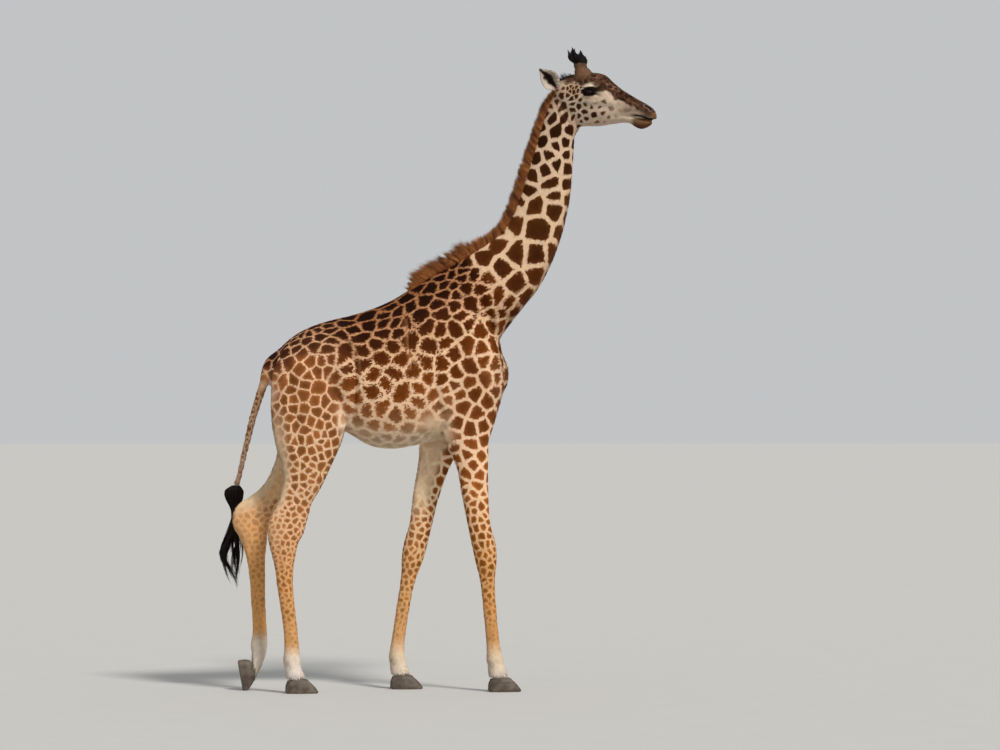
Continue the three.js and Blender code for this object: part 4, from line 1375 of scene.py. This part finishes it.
def follow(rows, shares):
    """Rows of a line read at shares of its length."""
    rows = smooth_rows(rows, 6, [0, 1, 2])
    gaps = np.linalg.norm(np.diff(rows[:, :3], axis=0), axis=1)
    at = np.append(0, np.cumsum(gaps)) / gaps.sum()
    return np.stack([np.interp(shares, at, column) for column in rows.T], -1)


def round_line(angle):
    """The ways out from an upright line at angles."""
    return np.stack([np.cos(angle), np.sin(angle), 0 * angle], 1)


def make_tail_tuft(count=1500, levels=12, wisps=21):
    """A full knot of hair at the tail's end, then long wisps that part and curl."""
    wisp = random.integers(0, wisps, count)
    knot = random.random(count) < 0.3
    angle = wisp * 2 * np.pi * 0.382 + random.normal(0, 0.16, count)
    angle = np.where(knot, random.uniform(0, 2 * np.pi, count), angle)
    out = np.sqrt(random.uniform(0.08, 1, wisps))[wisp] + random.normal(0, 0.035, count)
    out = np.where(knot, np.sqrt(random.random(count)), np.clip(out, 0, 1))
    ends = random.uniform(0.62, 1.0, wisps)[wisp] * random.uniform(0.8, 1.0, count)
    end = np.where(knot, random.uniform(0.12, 0.34, count), ends)
    start = np.clip(random.uniform(-0.03, 0.02, count), 0, 1)
    t = np.linspace(0, 1, levels + 1)
    shares = start[:, None] + (end - start)[:, None] * t
    line = follow(TAIL_TUFT, shares)
    phase = (wisp * 1.7)[:, None]
    drift = angle[:, None] + 0.9 * np.sin(shares * 7 + phase) * ramp(shares, 0.25, 0.6)
    apart = 1 + 0.1 * np.sin(shares * 13 + phase) * ramp(shares, 0.3, 0.5)
    reach = line[..., 3] * np.clip(out[:, None] * apart, 0, 1)
    paths = line[..., :3].copy()
    paths[..., 0] += reach * np.cos(drift)
    paths[..., 1] += reach * np.sin(drift) * 0.75
    paths[..., 2] += np.where(shares < 0.06, 6, 0)
    widths = random.uniform(2.6, 4.6, (count, 1)) * (1 - t[None] ** 3)
    widths = widths * (0.75 + 0.25 * np.sin(t * 3))
    unwrap = 0.16 + 0.1 * (angle % 6.28) / 6.28, 0.52 + 0.2 * (start + 0.04)
    return locks("tail_tuft_hair", paths, widths, 0.35, round_line(angle), unwrap,
                 random.random(count))


FLAME_TIPS = np.array([1.0, 0.74, 0.88, 0.66, 0.92, 0.7])


def make_horn_tuft(side, count=900, levels=5):
    """Stiff locks that stand round the top of a horn and close in to flame-like points."""
    start = random.uniform(0.04, 0.5, count)
    flames = 0.9 + 2 * np.pi * np.arange(6) / 6 + random.uniform(-0.35, 0.35, 6)
    angle = random.uniform(0, 2 * np.pi, count)
    turn = (angle[:, None] - flames + np.pi) % (2 * np.pi) - np.pi
    flame = np.abs(turn).argmin(1)
    flame = np.where(random.random(count) < 0.2, 0, flame)
    end = np.maximum(FLAME_TIPS[flame] * (1 - 0.3 * random.random(count) ** 2), start + 0.2)
    t = np.linspace(0, 1, levels + 1)
    line = follow(head_rows(HORN[3:], side), start[:, None] + (end - start)[:, None] * t)
    out = np.sqrt(random.uniform(0.05, 1, count))
    reach = line[..., 3] * (0.6 + 0.4 * np.minimum(1, t * 3)) * out[:, None]
    paths = line[..., :3].copy()
    paths[..., 0] += reach * np.cos(angle)[:, None]
    paths[..., 1] += reach * np.sin(angle)[:, None]
    loose = np.where(random.random(count) < 0.85, 1, random.uniform(0.3, 1.5, count))
    apart = (np.where(flame == 0, 4, 33) * loose)[:, None]
    gather = 0.94 * t**2.1
    for k, turned_by in enumerate((np.cos, np.sin)):
        astray = flames[flame] + random.normal(0, 0.12, count)
        tip = line[..., k] + apart * turned_by(astray)[:, None]
        paths[..., k] = paths[..., k] * (1 - gather) + tip * gather
    widths = random.uniform(2.2, 4.0, (count, 1)) * (1 - t[None] ** 2.2)
    block = {"right": 0.27, "left": 0.33}[side]
    unwrap = block + 0.05 * angle / (2 * np.pi), 0.52 + 0.1 * start
    return locks(f"horn_tuft_hair_{side}", paths, widths, 0.35, round_line(angle), unwrap,
                 random.random(count))


def make_lashes(side, count=190, levels=4):
    """Long dark lashes down from the upper lid and short ones from the lower."""
    sign = SIDES[side]
    out, ahead, above = eye_axes(sign)
    half = OPENING["half_length"]
    along = random.uniform(-0.96, 0.98, count) * half
    upper = random.random(count) < 0.75
    arch = np.where(upper, OPENING["above"] + 1.5, -OPENING["below"] - 1.5)
    up = arch * (1 - (along / half) ** 2)
    rim = EYE["radius"] + 3.5
    depth = np.sqrt(np.maximum(rim**2 - along**2 - up**2, 1))
    roots = eye_centre(sign) + np.outer(along, ahead) + np.outer(up, above)
    roots = roots + np.outer(depth, out)
    length = np.where(upper, random.uniform(22, 34, count), random.uniform(7, 13, count))
    fan = np.outer(along / half * 0.55 + random.normal(0, 0.1, count), ahead)
    drop = np.where(upper, random.uniform(-0.5, -0.2, count), -0.4)
    way = unit(out * 0.9 + fan + np.outer(drop, above))
    t = np.linspace(0, 1, levels + 1)[None, :, None]
    curl = np.where(upper, 0.25, -0.15)[:, None, None] * above
    paths = roots[:, None] + (way[:, None] * t + curl * t**2) * length[:, None, None]
    widths = random.uniform(1.4, 2.4, (count, 1)) * (1 - t[0, :, 0] ** 2)
    block = {"right": 0.4, "left": 0.45}[side]
    unwrap = block + 0.04 * (along / half + 1) / 2, np.full(count, 0.54)
    return locks(f"lashes_{side}", paths, widths, 0.4, np.tile(above, (count, 1)), unwrap,
                 random.random(count))


def make_poll_hair(count=300, levels=4):
    """Black spiky hair between the horns and the ears."""
    points, normals = marked["place"], marked["normal"]
    u, side, v = head_frame(points)
    near = (u > -74) & (u < 52) & (np.abs(side) < 46) & (v > 70) & (normals[:, 2] > 0.1)
    at = random.choice(np.flatnonzero(near), count)
    here_u, here_side = u[at], side[at]
    back, upward = head_point(-1, 0, 0) - head_point(0, 0, 0), np.array([0, 0, 1.0])
    peak = bell((here_u + 12, 34)) * bell((here_side, 30))
    length = ((10 + 44 * peak) * random.uniform(0.45, 1.1, count))[:, None, None]
    way = upward + back * random.normal(0.35, 0.3, count)[:, None]
    way = unit(way + random.normal(0, 0.16, (count, 3)) + 0.5 * normals[at])
    t = np.linspace(0, 1, levels + 1)[None, :, None]
    paths = points[at][:, None] - normals[at][:, None] * 2 + way[:, None] * length * t
    paths = paths + back * (t**2 * length * 0.2)
    widths = random.uniform(1.8, 3.4, (count, 1)) * (1 - t[0, :, 0] ** 2)
    unwrap = 0.5 + 0.2 * (here_u + 80) / 140, 0.6 + 0.1 * (here_side + 50) / 100
    return locks("poll_hair", paths, widths, 0.3, unit(random.normal(0, 1, (count, 3))),
                 unwrap, random.random(count))


def make_ear_hair(side, count=420, levels=3):
    """Long pale hairs from the front edge of an ear, lying across its open side."""
    root, axis, facing, across = ear_axes(side)
    forward = across * front_of_ear(across, side)
    share = random.beta(1.3, 1.6, count) * 0.78
    half = read_evenly(EAR["half_widths"], share)
    edge = random.uniform(0.62, 0.97, count)
    bow = EAR["cup"] * half * (edge**2 - 0.5)
    lift = 0.8 * read_evenly(EAR["thickness"], share) * 0.5
    roots = root + np.outer(EAR["length"] * share, axis) + np.outer(half * edge, forward)
    roots += np.outer(bow + lift, facing)
    length = random.uniform(18, 34, count) * (1 - 0.5 * share)
    way = np.outer(random.normal(-0.55, 0.14, count), forward) + axis * 0.75 + facing * 0.18
    way = unit(way + random.normal(0, 0.08, (count, 3)))
    t = np.linspace(0, 1, levels + 1)[None, :, None]
    paths = roots[:, None] + way[:, None] * length[:, None, None] * t
    widths = random.uniform(1.8, 3.2, (count, 1)) * (1 - t[0, :, 0] ** 2)
    left, low, wide, tall = UNWRAP[f"ear_{side}"]
    unwrap = left + wide * edge * 0.9, low + tall * share
    return locks(f"ear_hair_{side}", paths, widths, 0.3, np.tile(facing, (count, 1)), unwrap,
                 random.random(count))


# ---------------------------------------------------------------------------- short coat

# By member: length, width and height of a tuft in millimetres, and how many there are to
# a square of 100 mm.
TUFT_KINDS = {"trunk": (13, 4.4, 1.3, 120), "neck": (12, 4.2, 1.2, 130),
              "head": (7, 2.4, 0.4, 330), "leg": (10, 3.6, 1.0, 148),
              "tail": (13, 3.6, 3.2, 230), "ear": (8, 2.4, 0.4, 330)}
# The blocks of the unwrap, by member: left, bottom, width and height.
UNWRAP = {"trunk": (0, 0, 0.5, 0.5), "neck": (0.5, 0, 0.25, 0.5),
          "head": (0.5, 0.5, 0.25, 0.25), "tail": (0.5, 0.76, 0.06, 0.24),
          "leg_fore_right": (0.75, 0, 0.12, 0.5), "leg_fore_left": (0.88, 0, 0.12, 0.5),
          "leg_hind_right": (0.75, 0.5, 0.12, 0.5), "leg_hind_left": (0.88, 0.5, 0.12, 0.5),
          "ear_right": (0.57, 0.76, 0.08, 0.24), "ear_left": (0.66, 0.76, 0.08, 0.24)}


def coat_reach(points, normals, member):
    """How much longer and higher the tufts stand where the coat breaks the form."""
    x, _, z = points.T
    ahead, upward = normals[:, 0], normals[:, 2]
    name = np.array(MEMBERS)[member]
    trunk, neck, leg = name == "trunk", name == "neck", np.char.startswith(name, "leg")
    places = [
        trunk * ramp(upward, -0.45, -0.85),
        neck * ramp(ahead, 0.6, 0.9) * ramp(z, 3500, 3200),
        trunk * ramp(x, 330, 400),
        leg * ramp(ahead, -0.6, -0.9) * ramp(z, 1050, 1250),
        leg * ramp(ahead, -0.3, -0.8) * ramp(z, 260, 220) * ramp(z, 110, 140),
        bell((distance_to(x, z, [(-70, 1640), (60, 1600)]), 40)),
    ]
    for kind, side in itertools.product(LEG_KINDS, SIDES):
        from_foot = np.linalg.norm(points - foot_point(kind, side), axis=1)
        places.append(ramp(from_foot, 84, 66))
    return np.maximum.reduce(places)


def clear_of_openings(roots):
    """Where a tuft wouldn't stand in an eye, a nostril or between the lips."""
    u, _, v = head_frame(roots)
    on_head = roots[:, 2] > 3560
    keep = ~(on_head & (distance_to(u, v, NOSTRIL) < 13) & (u > 500))
    keep &= ~(on_head & (distance_to(u, v, LIP_LINE) < 7) & (u > 425))
    for sign in SIDES.values():
        keep &= np.linalg.norm(roots - head_point(EYE["u"], sign * 100, EYE["v"]), axis=1) > 34
    return keep


COAT_LEVELS = 2
TUFT_AREA = 100**2


def coat_piece(name, names, which=lambda middle: True):
    """Short tufts over part of the skin, each with the skin's own marking at its root."""
    mesh = skin.data
    mesh.calc_loop_triangles()
    corners = np.empty(len(mesh.loop_triangles) * 3, int)
    mesh.loop_triangles.foreach_get("vertices", corners)
    corners = corners.reshape(-1, 3)
    a, b, c = (marked["place"][corners[:, k]] for k in range(3))
    area = np.linalg.norm(np.cross(b - a, c - a), axis=1) / 2
    member = marked["member"][corners[:, 0]]
    kinds = np.array([TUFT_KINDS[each.split("_")[0]] for each in MEMBERS])
    chosen = np.isin(member, [MEMBERS.index(each) for each in names]) & which((a + b + c) / 3)
    wanted = area * kinds[member, 3] / TUFT_AREA * chosen
    count = int(wanted.sum())
    face = random.choice(len(corners), count, p=wanted / wanted.sum())
    weight = random.dirichlet((1, 1, 1), count)

    def at_root(value):
        """A value of the skin's points read at the roots."""
        field = marked[value].reshape(len(marked[value]), -1)
        return (field[corners[face]] * weight[..., None]).sum(1)

    keep = clear_of_openings(at_root("place"))
    face, weight = face[keep], weight[keep]
    count, member = len(face), member[face]
    roots, up, lie = at_root("place"), unit(at_root("normal")), unit(at_root("lie"))
    long, wide, high = kinds[member, :3].T
    stands = coat_reach(roots, up, member)
    swing = random.normal(0, 0.16, count)
    swing = swing + 0.25 * np.sin(roots[:, 0] / 37 + roots[:, 2] / 23)
    way = unit(lie + np.cross(up, lie) * swing[:, None])
    size = random.uniform(0.75, 1.2, count)
    length = (long * size * (1 + 1.3 * stands))[:, None, None]
    lift = high * random.uniform(0.7, 1.15, count)
    lift = (lift + 5 * stands * random.uniform(0.4, 1, count))[:, None, None]
    t, sunk, rise = (np.array(each)[None, :, None] for each in
                     ((0.0, 0.5, 1.0), (-1.6, 0.0, 0.0), (0.0, 0.62, 1.0)))
    paths = roots[:, None] + way[:, None] * length * t
    paths = paths + up[:, None] * (sunk + lift * rise)
    widths = wide[:, None] * size[:, None] * np.array([0.8, 1.0, 0.0])
    arm = roots - at_root("middle")
    lying = np.isin(member, [MEMBERS.index("trunk"), MEMBERS.index("head")])
    angle = np.arctan2(arm[:, 1], np.where(lying, arm[:, 2], arm[:, 0])) / (2 * np.pi) + 0.5
    left, low, across, tall = np.array([UNWRAP[each] for each in MEMBERS])[member].T
    unwrap = (left + across * (0.03 + 0.94 * angle),
              low + tall * (0.02 + 0.96 * at_root("along")[:, 0]))
    piece = locks(name, paths, widths, 0.22, up, unwrap)
    for value, kind in COAT_VALUES.items():
        write_values(piece, value, kind, per_point(at_root(value), COAT_LEVELS))
    own = np.empty(len(piece.data.vertices) * 3)
    piece.data.vertex_normals.foreach_get("vector", own)
    soft = unit(per_point(up, COAT_LEVELS) + 0.25 * own.reshape(-1, 3))
    piece.data.normals_split_custom_set_from_vertices(soft.tolist())
    return piece


for name, kind in COAT_VALUES.items():
    write_values(skin, name, kind, marked[name])
write_values(skin, "along", "FLOAT", np.full(len(surface.points), 0.5))
mane = make_mane()
tail_tuft = make_tail_tuft()
horn_tufts = {side: make_horn_tuft(side) for side in SIDES}
lashes = {side: make_lashes(side) for side in SIDES}
poll_hair = make_poll_hair()
ear_hair = {side: make_ear_hair(side) for side in SIDES}
coat_pieces = [
    coat_piece("coat_trunk_right", ["trunk"], lambda middle: middle[:, 1] < 0),
    coat_piece("coat_trunk_left", ["trunk"], lambda middle: middle[:, 1] >= 0),
    coat_piece("coat_neck", ["neck"]),
    *(coat_piece(f"coat_leg_{kind}_{side}", [f"leg_{kind}_{side}"])
      for kind, side in itertools.product(LEG_KINDS, SIDES)),
    coat_piece("coat_head_and_tail", ["head", "tail", "ear_right", "ear_left"]),
]

# --------------------------------------------------------------------------- materials


class Shader:
    """A material and its nodes: add makes each node, and the rest are words for it."""

    def __init__(self, name):
        self.material = bpy.data.materials.new(name)
        self.material.use_nodes = True
        self.tree = self.material.node_tree

    def feed(self, socket, value):
        if isinstance(value, bpy.types.NodeSocket):
            self.tree.links.new(value, socket)
        else:
            socket.default_value = (*linear(value), 1) if isinstance(value, str) else value

    def add(self, kind, inputs, output=0, **settings):
        """Adds a node with its settings and what goes into it, and gives its output."""
        node = self.tree.nodes.new("ShaderNode" + kind)
        for setting, value in settings.items():
            setattr(node, setting, value)
        for key, value in inputs.items():
            self.feed(node.inputs[key], value)
        return node.outputs[output]

    def place(self):
        """Where a point is, in the object's own metres."""
        return self.add("TexCoord", {}, 3)

    def read(self, name, output=1):
        """An attribute as a colour 0, a vector 1 or a number 2."""
        return self.add("Attribute", {}, output, attribute_name=name)

    def parts(self, vector):
        return [self.add("SeparateXYZ", {0: vector}, k) for k in range(3)]

    def math(self, operation, *values):
        return self.add("Math", dict(enumerate(values)), operation=operation)

    def vector(self, operation, *values, output=0):
        return self.add("VectorMath", dict(enumerate(values)), output, operation=operation)

    def span(self, value, low, high, at_low, at_high, **settings):
        """at_low where the value is low, at_high where it is high, straight between."""
        inputs = {"Value": value, 1: low, 2: high, 3: at_low, 4: at_high}
        return self.add("MapRange", inputs, **settings)

    def noise(self, where, scale, detail, output=0, **more):
        inputs = {"Vector": where, "Scale": scale, "Detail": detail, **more}
        return self.add("TexNoise", inputs, output)

    def blend(self, share, colour, other):
        return self.add("Mix", {0: share, 6: colour, 7: other}, 2, data_type="RGBA")

    def scaled(self, colour, value, at_low, at_high, low=0.3, high=0.7):
        """A colour made lighter or darker by a value that goes from low to high."""
        factor = self.span(value, low, high, at_low, at_high)
        return self.add("VectorMath", {0: colour, "Scale": factor}, operation="SCALE")

    def finish(self, colour, roughness, height=None, depth=0.0, **sockets):
        """Links the shader: depth is the height of the bump in millimetres."""
        inputs = {"Base Color": colour, "Roughness": roughness, **sockets}
        if height:
            relief = {"Height": height, "Distance": depth * MM, "Strength": 1.0}
            inputs["Normal"] = self.add("Bump", relief)
        shader = self.tree.nodes["Principled BSDF"]
        for key, value in inputs.items():
            self.feed(shader.inputs[key.replace("_", " ")], value)
        return self.material


FAR = 9000.0  # more than any distance on the skin
NOISE_STEP = 5.3  # between the noises of two classes of patch


def patch_cover(s, place, hairs):
    """How far a place is inside a patch: the depth in millimetres, the share of the patch's
    pitch that it is, and how much of the patch's colour it has."""
    distances = [part for name in ("cells_a", "cells_b") for part in s.parts(s.read(name))]
    width, strength, pitch = s.parts(s.read("mark"))
    first, second = distances[0], FAR
    for distance in distances[1:]:
        second = s.math("MINIMUM", s.math("MAXIMUM", first, distance), second)
        first = s.math("MINIMUM", first, distance)
    limit = s.math("ADD", first, 0.01)
    own = 0.0
    for k, distance in enumerate(distances):
        nearest = s.math("LESS_THAN", distance, limit)
        own = s.math("MULTIPLY_ADD", nearest, k * NOISE_STEP, own)
    # Vine-leaf edges: noise of its own for each patch, and notches cut in from the lines.
    small = s.span(pitch, 45.0, 100.0, 0.0, 1.0)
    jag, notch = [], []
    for size in (11.0, 20.0):
        waves = {"Vector": place, "W": own, "Scale": 1 / size, "Detail": 0.8, "Roughness": 0.5}
        jag.append(s.add("TexNoise", waves, noise_dimensions="4D"))
        bent = s.noise(place, 1.3 / size, 1.0, 1)
        bent = s.add("VectorMath", {0: bent, "Scale": size * 1.1}, operation="SCALE")
        crack = {"Vector": s.vector("ADD", place, bent), "Scale": 1 / (size * 1.5)}
        crack = s.add("TexVoronoi", crack, feature="DISTANCE_TO_EDGE", voronoi_dimensions="3D")
        notch.append(s.span(crack, 0.0, 0.1, 1.0, 0.0, interpolation_type="SMOOTHSTEP"))
    jag, notch = (s.add("Mix", {0: small, 2: low, 3: high}, data_type="FLOAT")
                  for low, high in (jag, notch))
    inside = s.math("SUBTRACT", second, first)
    inside = s.math("MULTIPLY", s.math("MULTIPLY_ADD", width, -0.75, inside), 0.5)
    jag = s.math("MULTIPLY", s.math("ADD", jag, -0.5), 0.27)
    uneven = s.math("MULTIPLY", pitch, s.read("ragged", 2))
    notch = s.math("MULTIPLY_ADD", notch, -0.12, jag)
    inside = s.math("MULTIPLY_ADD", notch, uneven, inside)
    inside = s.math("ADD", inside, s.span(hairs, 0.3, 0.7, -1.2, 1.2))
    edge = s.math("DIVIDE", inside, s.span(strength, 0.2, 1.0, 11.0, 1.3))
    cover = s.span(edge, -1.0, 1.0, 0.0, 1.0, interpolation_type="SMOOTHSTEP")
    return s.math("DIVIDE", inside, pitch), s.math("MULTIPLY", cover, strength)


def coat_material():
    """Short flat giraffe hair: dull, soft to the eye, with a faint sheen along its lie."""
    s = Shader("masai_giraffe_hair_coat")
    place = s.read("place")
    # Hairs too fine to draw, 0.1 mm thick, are drawn as streaks of about 3 mm.
    hairs = s.noise(s.read("strand"), 1 / 3.0, 3.0, Roughness=0.6)
    depth, cover = patch_cover(s, place, hairs)
    # Each patch has its own tone, is darker in its middle and mottled, with a warm rim.
    shade = s.span(depth, 0.0, 0.26, 1.36, 0.84)
    shade = s.math("MULTIPLY", shade, s.span(s.read("tone", 2), 0.0, 1.0, 0.8, 1.22))
    mottle = s.noise(place, 1 / 26.0, 4.0, Roughness=0.6)
    shade = s.math("MULTIPLY", shade, s.span(mottle, 0.3, 0.7, 0.84, 1.16))
    patch = s.add("VectorMath", {0: s.read("patch", 0), "Scale": shade}, operation="SCALE")
    patch = s.blend(s.span(depth, 0.0, 0.08, 0.18, 0.0), patch, "9c5a2c")
    ground = s.scaled(s.read("ground", 0), mottle, 0.9, 1.08)
    colour = s.scaled(s.blend(cover, ground, patch), hairs, 0.9, 1.1)
    colour = s.scaled(colour, s.read("along", 2), 0.92, 1.08, 0.0, 1.0)
    return s.finish(colour, s.span(hairs, 0.3, 0.7, 0.62, 0.8), hairs, 1.1, Sheen_Weight=0.01,
                    Sheen_Roughness=0.5, Specular_IOR_Level=0.03)


def hair_material(name, root, tip, light, shine):
    """Coarse long hair: glossier than the coat, darker at one end."""
    s = Shader(name)
    # Hairs 0.3 mm thick are drawn as streaks of about 2 mm.
    fine = s.noise(s.place(), 1 / (2 * MM), 2.0)
    colour = s.blend(s.span(s.read("along", 2), 0.35, 0.85, 0.0, 1.0), root, tip)
    colour = s.blend(s.span(s.read("tone", 2), 0.0, 1.0, 0.0, 0.9), colour, light)
    return s.finish(s.scaled(colour, fine, 0.8, 1.25), shine, fine, 0.4, Specular_IOR_Level=0.2)


def horn_material():
    """Short brown hair over a bony horn, worn and dull, darker towards the tuft."""
    s = Shader("brown_haired_horn_skin")
    where = s.place()
    low, top = (to_metres(head_point(0, 0, v))[2] for v in (130, 205))
    rise = s.span(s.parts(where)[2], low, top, 0.0, 1.0)
    # Hairs too fine to draw are drawn as lengthwise streaks of about 3 mm.
    hairs = s.noise(s.vector("MULTIPLY", where, (1.0, 1.0, 0.18)), 1 / (3.0 * MM), 3.0)
    spots = s.span(s.noise(where, 1 / (16 * MM), 2.0), 0.35, 0.65, 0.0, 1.0)
    colour = s.blend(rise, s.blend(spots, "79593f", "58402e"), "46301f")
    return s.finish(s.scaled(colour, hairs, 0.82, 1.2), 0.72, hairs, 0.9,
                    Specular_IOR_Level=0.15)


def hoof_material():
    """Horny hoof: dark grey-brown, faintly glossy, with growth rings and fine upright lines."""
    s = Shader("hoof_keratin")
    where = s.place()
    lines = s.noise(s.vector("MULTIPLY", where, (1.0, 1.0, 0.12)), 1 / (3 * MM), 2.0)
    rings = s.noise(s.vector("MULTIPLY", where, (0.06, 0.06, 1.0)), 1 / (14 * MM), 1.0)
    # Dry dust in patches of about 40 mm.
    dust = s.span(s.noise(where, 1 / (40 * MM), 5.0), 0.4, 0.66, 0.1, 0.6)
    colour = s.blend(dust, s.blend(lines, "342c26", "4a3e34"), "75685a")
    height = s.math("MULTIPLY_ADD", rings, 0.9, lines)
    return s.finish(colour, s.span(dust, 0.1, 0.75, 0.42, 0.78), height, 0.9,
                    Specular_IOR_Level=0.35)


def eye_material():
    """A wet dark brown eye with a wide level pupil."""
    s = Shader("wet_brown_eye")
    gaze = s.read("gaze")
    out = s.vector("LENGTH", s.vector("MULTIPLY", gaze, (1.0, 1.0, 0.0)), output=1)
    pupil = s.vector("LENGTH", s.vector("MULTIPLY", gaze, (0.5, 1.0, 0.0)), output=1)
    # Threads of the iris, 1.6 mm apart, then its dark rim, the white and the pupil.
    threads = s.noise(gaze, 1 / 1.6, 3.0)
    colour = s.blend(threads, "120a06", "2f1a10")
    colour = s.blend(s.span(out, 15.0, 18.0, 0.0, 1.0), colour, "120b08")
    colour = s.blend(s.span(out, 22.0, 27.0, 0.0, 1.0), colour, "5b4a40")
    colour = s.blend(s.span(pupil, 4.6, 5.6, 1.0, 0.0), colour, "060404")
    return s.finish(colour, 0.1, threads, 0.05, IOR=1.376, Coat_Weight=0.25,
                    Coat_Roughness=0.03, Specular_IOR_Level=0.22)


def floor_material():
    """Pale studio paint, very faintly uneven."""
    s = Shader("pale_studio_floor")
    paint = s.add("TexNoise", {"Vector": s.place(), "Scale": 3.0})
    return s.finish(s.blend(paint, "b1b0ad", "b5b4b1"), 0.85)


def dress(piece, material):
    piece.data.materials.clear()
    piece.data.materials.append(material)


for side, sign in SIDES.items():
    out, ahead, above = eye_axes(sign)
    arm = points_of(eyes[side]) / MM - SHIFT
    arm -= eye_centre(sign)
    gaze = np.stack([arm @ ahead, arm @ above, arm @ out], 1)
    write_values(eyes[side], "gaze", "FLOAT_VECTOR", gaze)
for piece in (*eyes.values(), *horns.values(), *hooves.values()):
    piece.data.shade_smooth()

# ------------------------------------------------------------------------------- stage

deselect()
bpy.ops.mesh.primitive_plane_add(size=900, location=(0, 0, 0))
floor = bpy.context.object
floor.name = "floor"
dress(floor, floor_material())

# The focal length is in pixels of the frame; the camera's level axis meets the frame at aim.
CAMERA = {"azimuth": math.radians(-6), "distance": 25.0, "height": 1.69, "focal": 3846,
          "frame": (1000, 750), "aim": (437.5, 430), "sensor": 36}
LIGHT_WAY = (-0.30, 0.62, -0.72)


def make_camera():
    data = bpy.data.cameras.new("camera")
    camera = bpy.data.objects.new("camera", data)
    bpy.context.scene.collection.objects.link(camera)
    (wide, tall), (column, row), focal = CAMERA["frame"], CAMERA["aim"], CAMERA["focal"]
    data.sensor_width = CAMERA["sensor"]
    data.lens = focal / wide * data.sensor_width
    azimuth = CAMERA["azimuth"]
    back = Vector((math.sin(azimuth), -math.cos(azimuth), 0))
    camera.location = back * CAMERA["distance"] + Vector(to_metres((0, 0, 0)))
    camera.location.z = CAMERA["height"]
    yaw = math.atan((wide / 2 - column) / focal)
    pitch = math.atan((row - tall / 2) / focal)
    camera.rotation_euler = (math.pi / 2 + pitch, 0, azimuth - yaw)
    bpy.context.scene.camera = camera


make_camera()
deselect()
bpy.ops.object.light_add(type="SUN", location=(3, -6, 9))
key = bpy.context.object
key.name = "key"
key.data.energy, key.data.angle, key.data.color = 3.2, math.radians(11), (1, 0.965, 0.92)
key.rotation_euler = Vector(LIGHT_WAY).to_track_quat("-Z", "Y").to_euler()
world = bpy.data.worlds.new("studio")
bpy.context.scene.world = world
world.use_nodes = True
backdrop = world.node_tree.nodes["Background"].inputs
backdrop["Color"].default_value = (0.565, 0.578, 0.592, 1)
backdrop["Strength"].default_value = 0.95
bpy.context.scene.view_settings.view_transform = "Standard"

# ------------------------------------------------------------------------ what is shown

black_hair = hair_material("black_tail_and_tuft_hair", "0b0605", "0e0807", "1f120e", 0.55)
mane_hair = hair_material("red_brown_mane_hair", "68300f", "2e1508", "b8743c", 0.65)
pale_hair = hair_material("pale_ear_hair", "b5a696", "d8ccbd", "c6b8a8", 0.6)
coat, horn_skin, hoof_horn = coat_material(), horn_material(), hoof_material()
eye_surface = eye_material()


def show(piece, slot, material, *replaced):
    """Gives a piece its material, hangs it on the root and hides the solids it stands for; slot is
    not used.
    """
    dress(piece, material)
    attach(piece, "root")
    if replaced:
        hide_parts(*replaced)


flesh = ["head", "neck_upper", "neck_middle", "neck_lower", "trunk", "tail_upper", "tail_lower"]
flesh += [f"ear_{side}" for side in SIDES]
flesh += [f"leg_{kind}_{side}_{part}" for kind, side, part
          in itertools.product(LEG_KINDS, SIDES, ("upper", "cannon", "foot"))]
show(skin, "coat", coat, *flesh)
for piece in coat_pieces:
    show(piece, "coat", coat)
show(mane, "mane_hair", mane_hair, "mane_upper", "mane_lower")
show(tail_tuft, "black_hair", black_hair, "tail_tuft")
show(poll_hair, "black_hair", black_hair)
for side in SIDES:
    show(lashes[side], "black_hair", black_hair)
    show(ear_hair[side], "coat", pale_hair)
    show(horns[side], "horn_skin", horn_skin, f"horn_{side}")
    show(horn_tufts[side], "black_hair", black_hair, f"horn_tuft_{side}")
    show(eyes[side], "eye", eye_surface, f"eye_{side}")
for name, claw in hooves.items():
    show(claw, "hoof", hoof_horn, f"hoof_{name}")
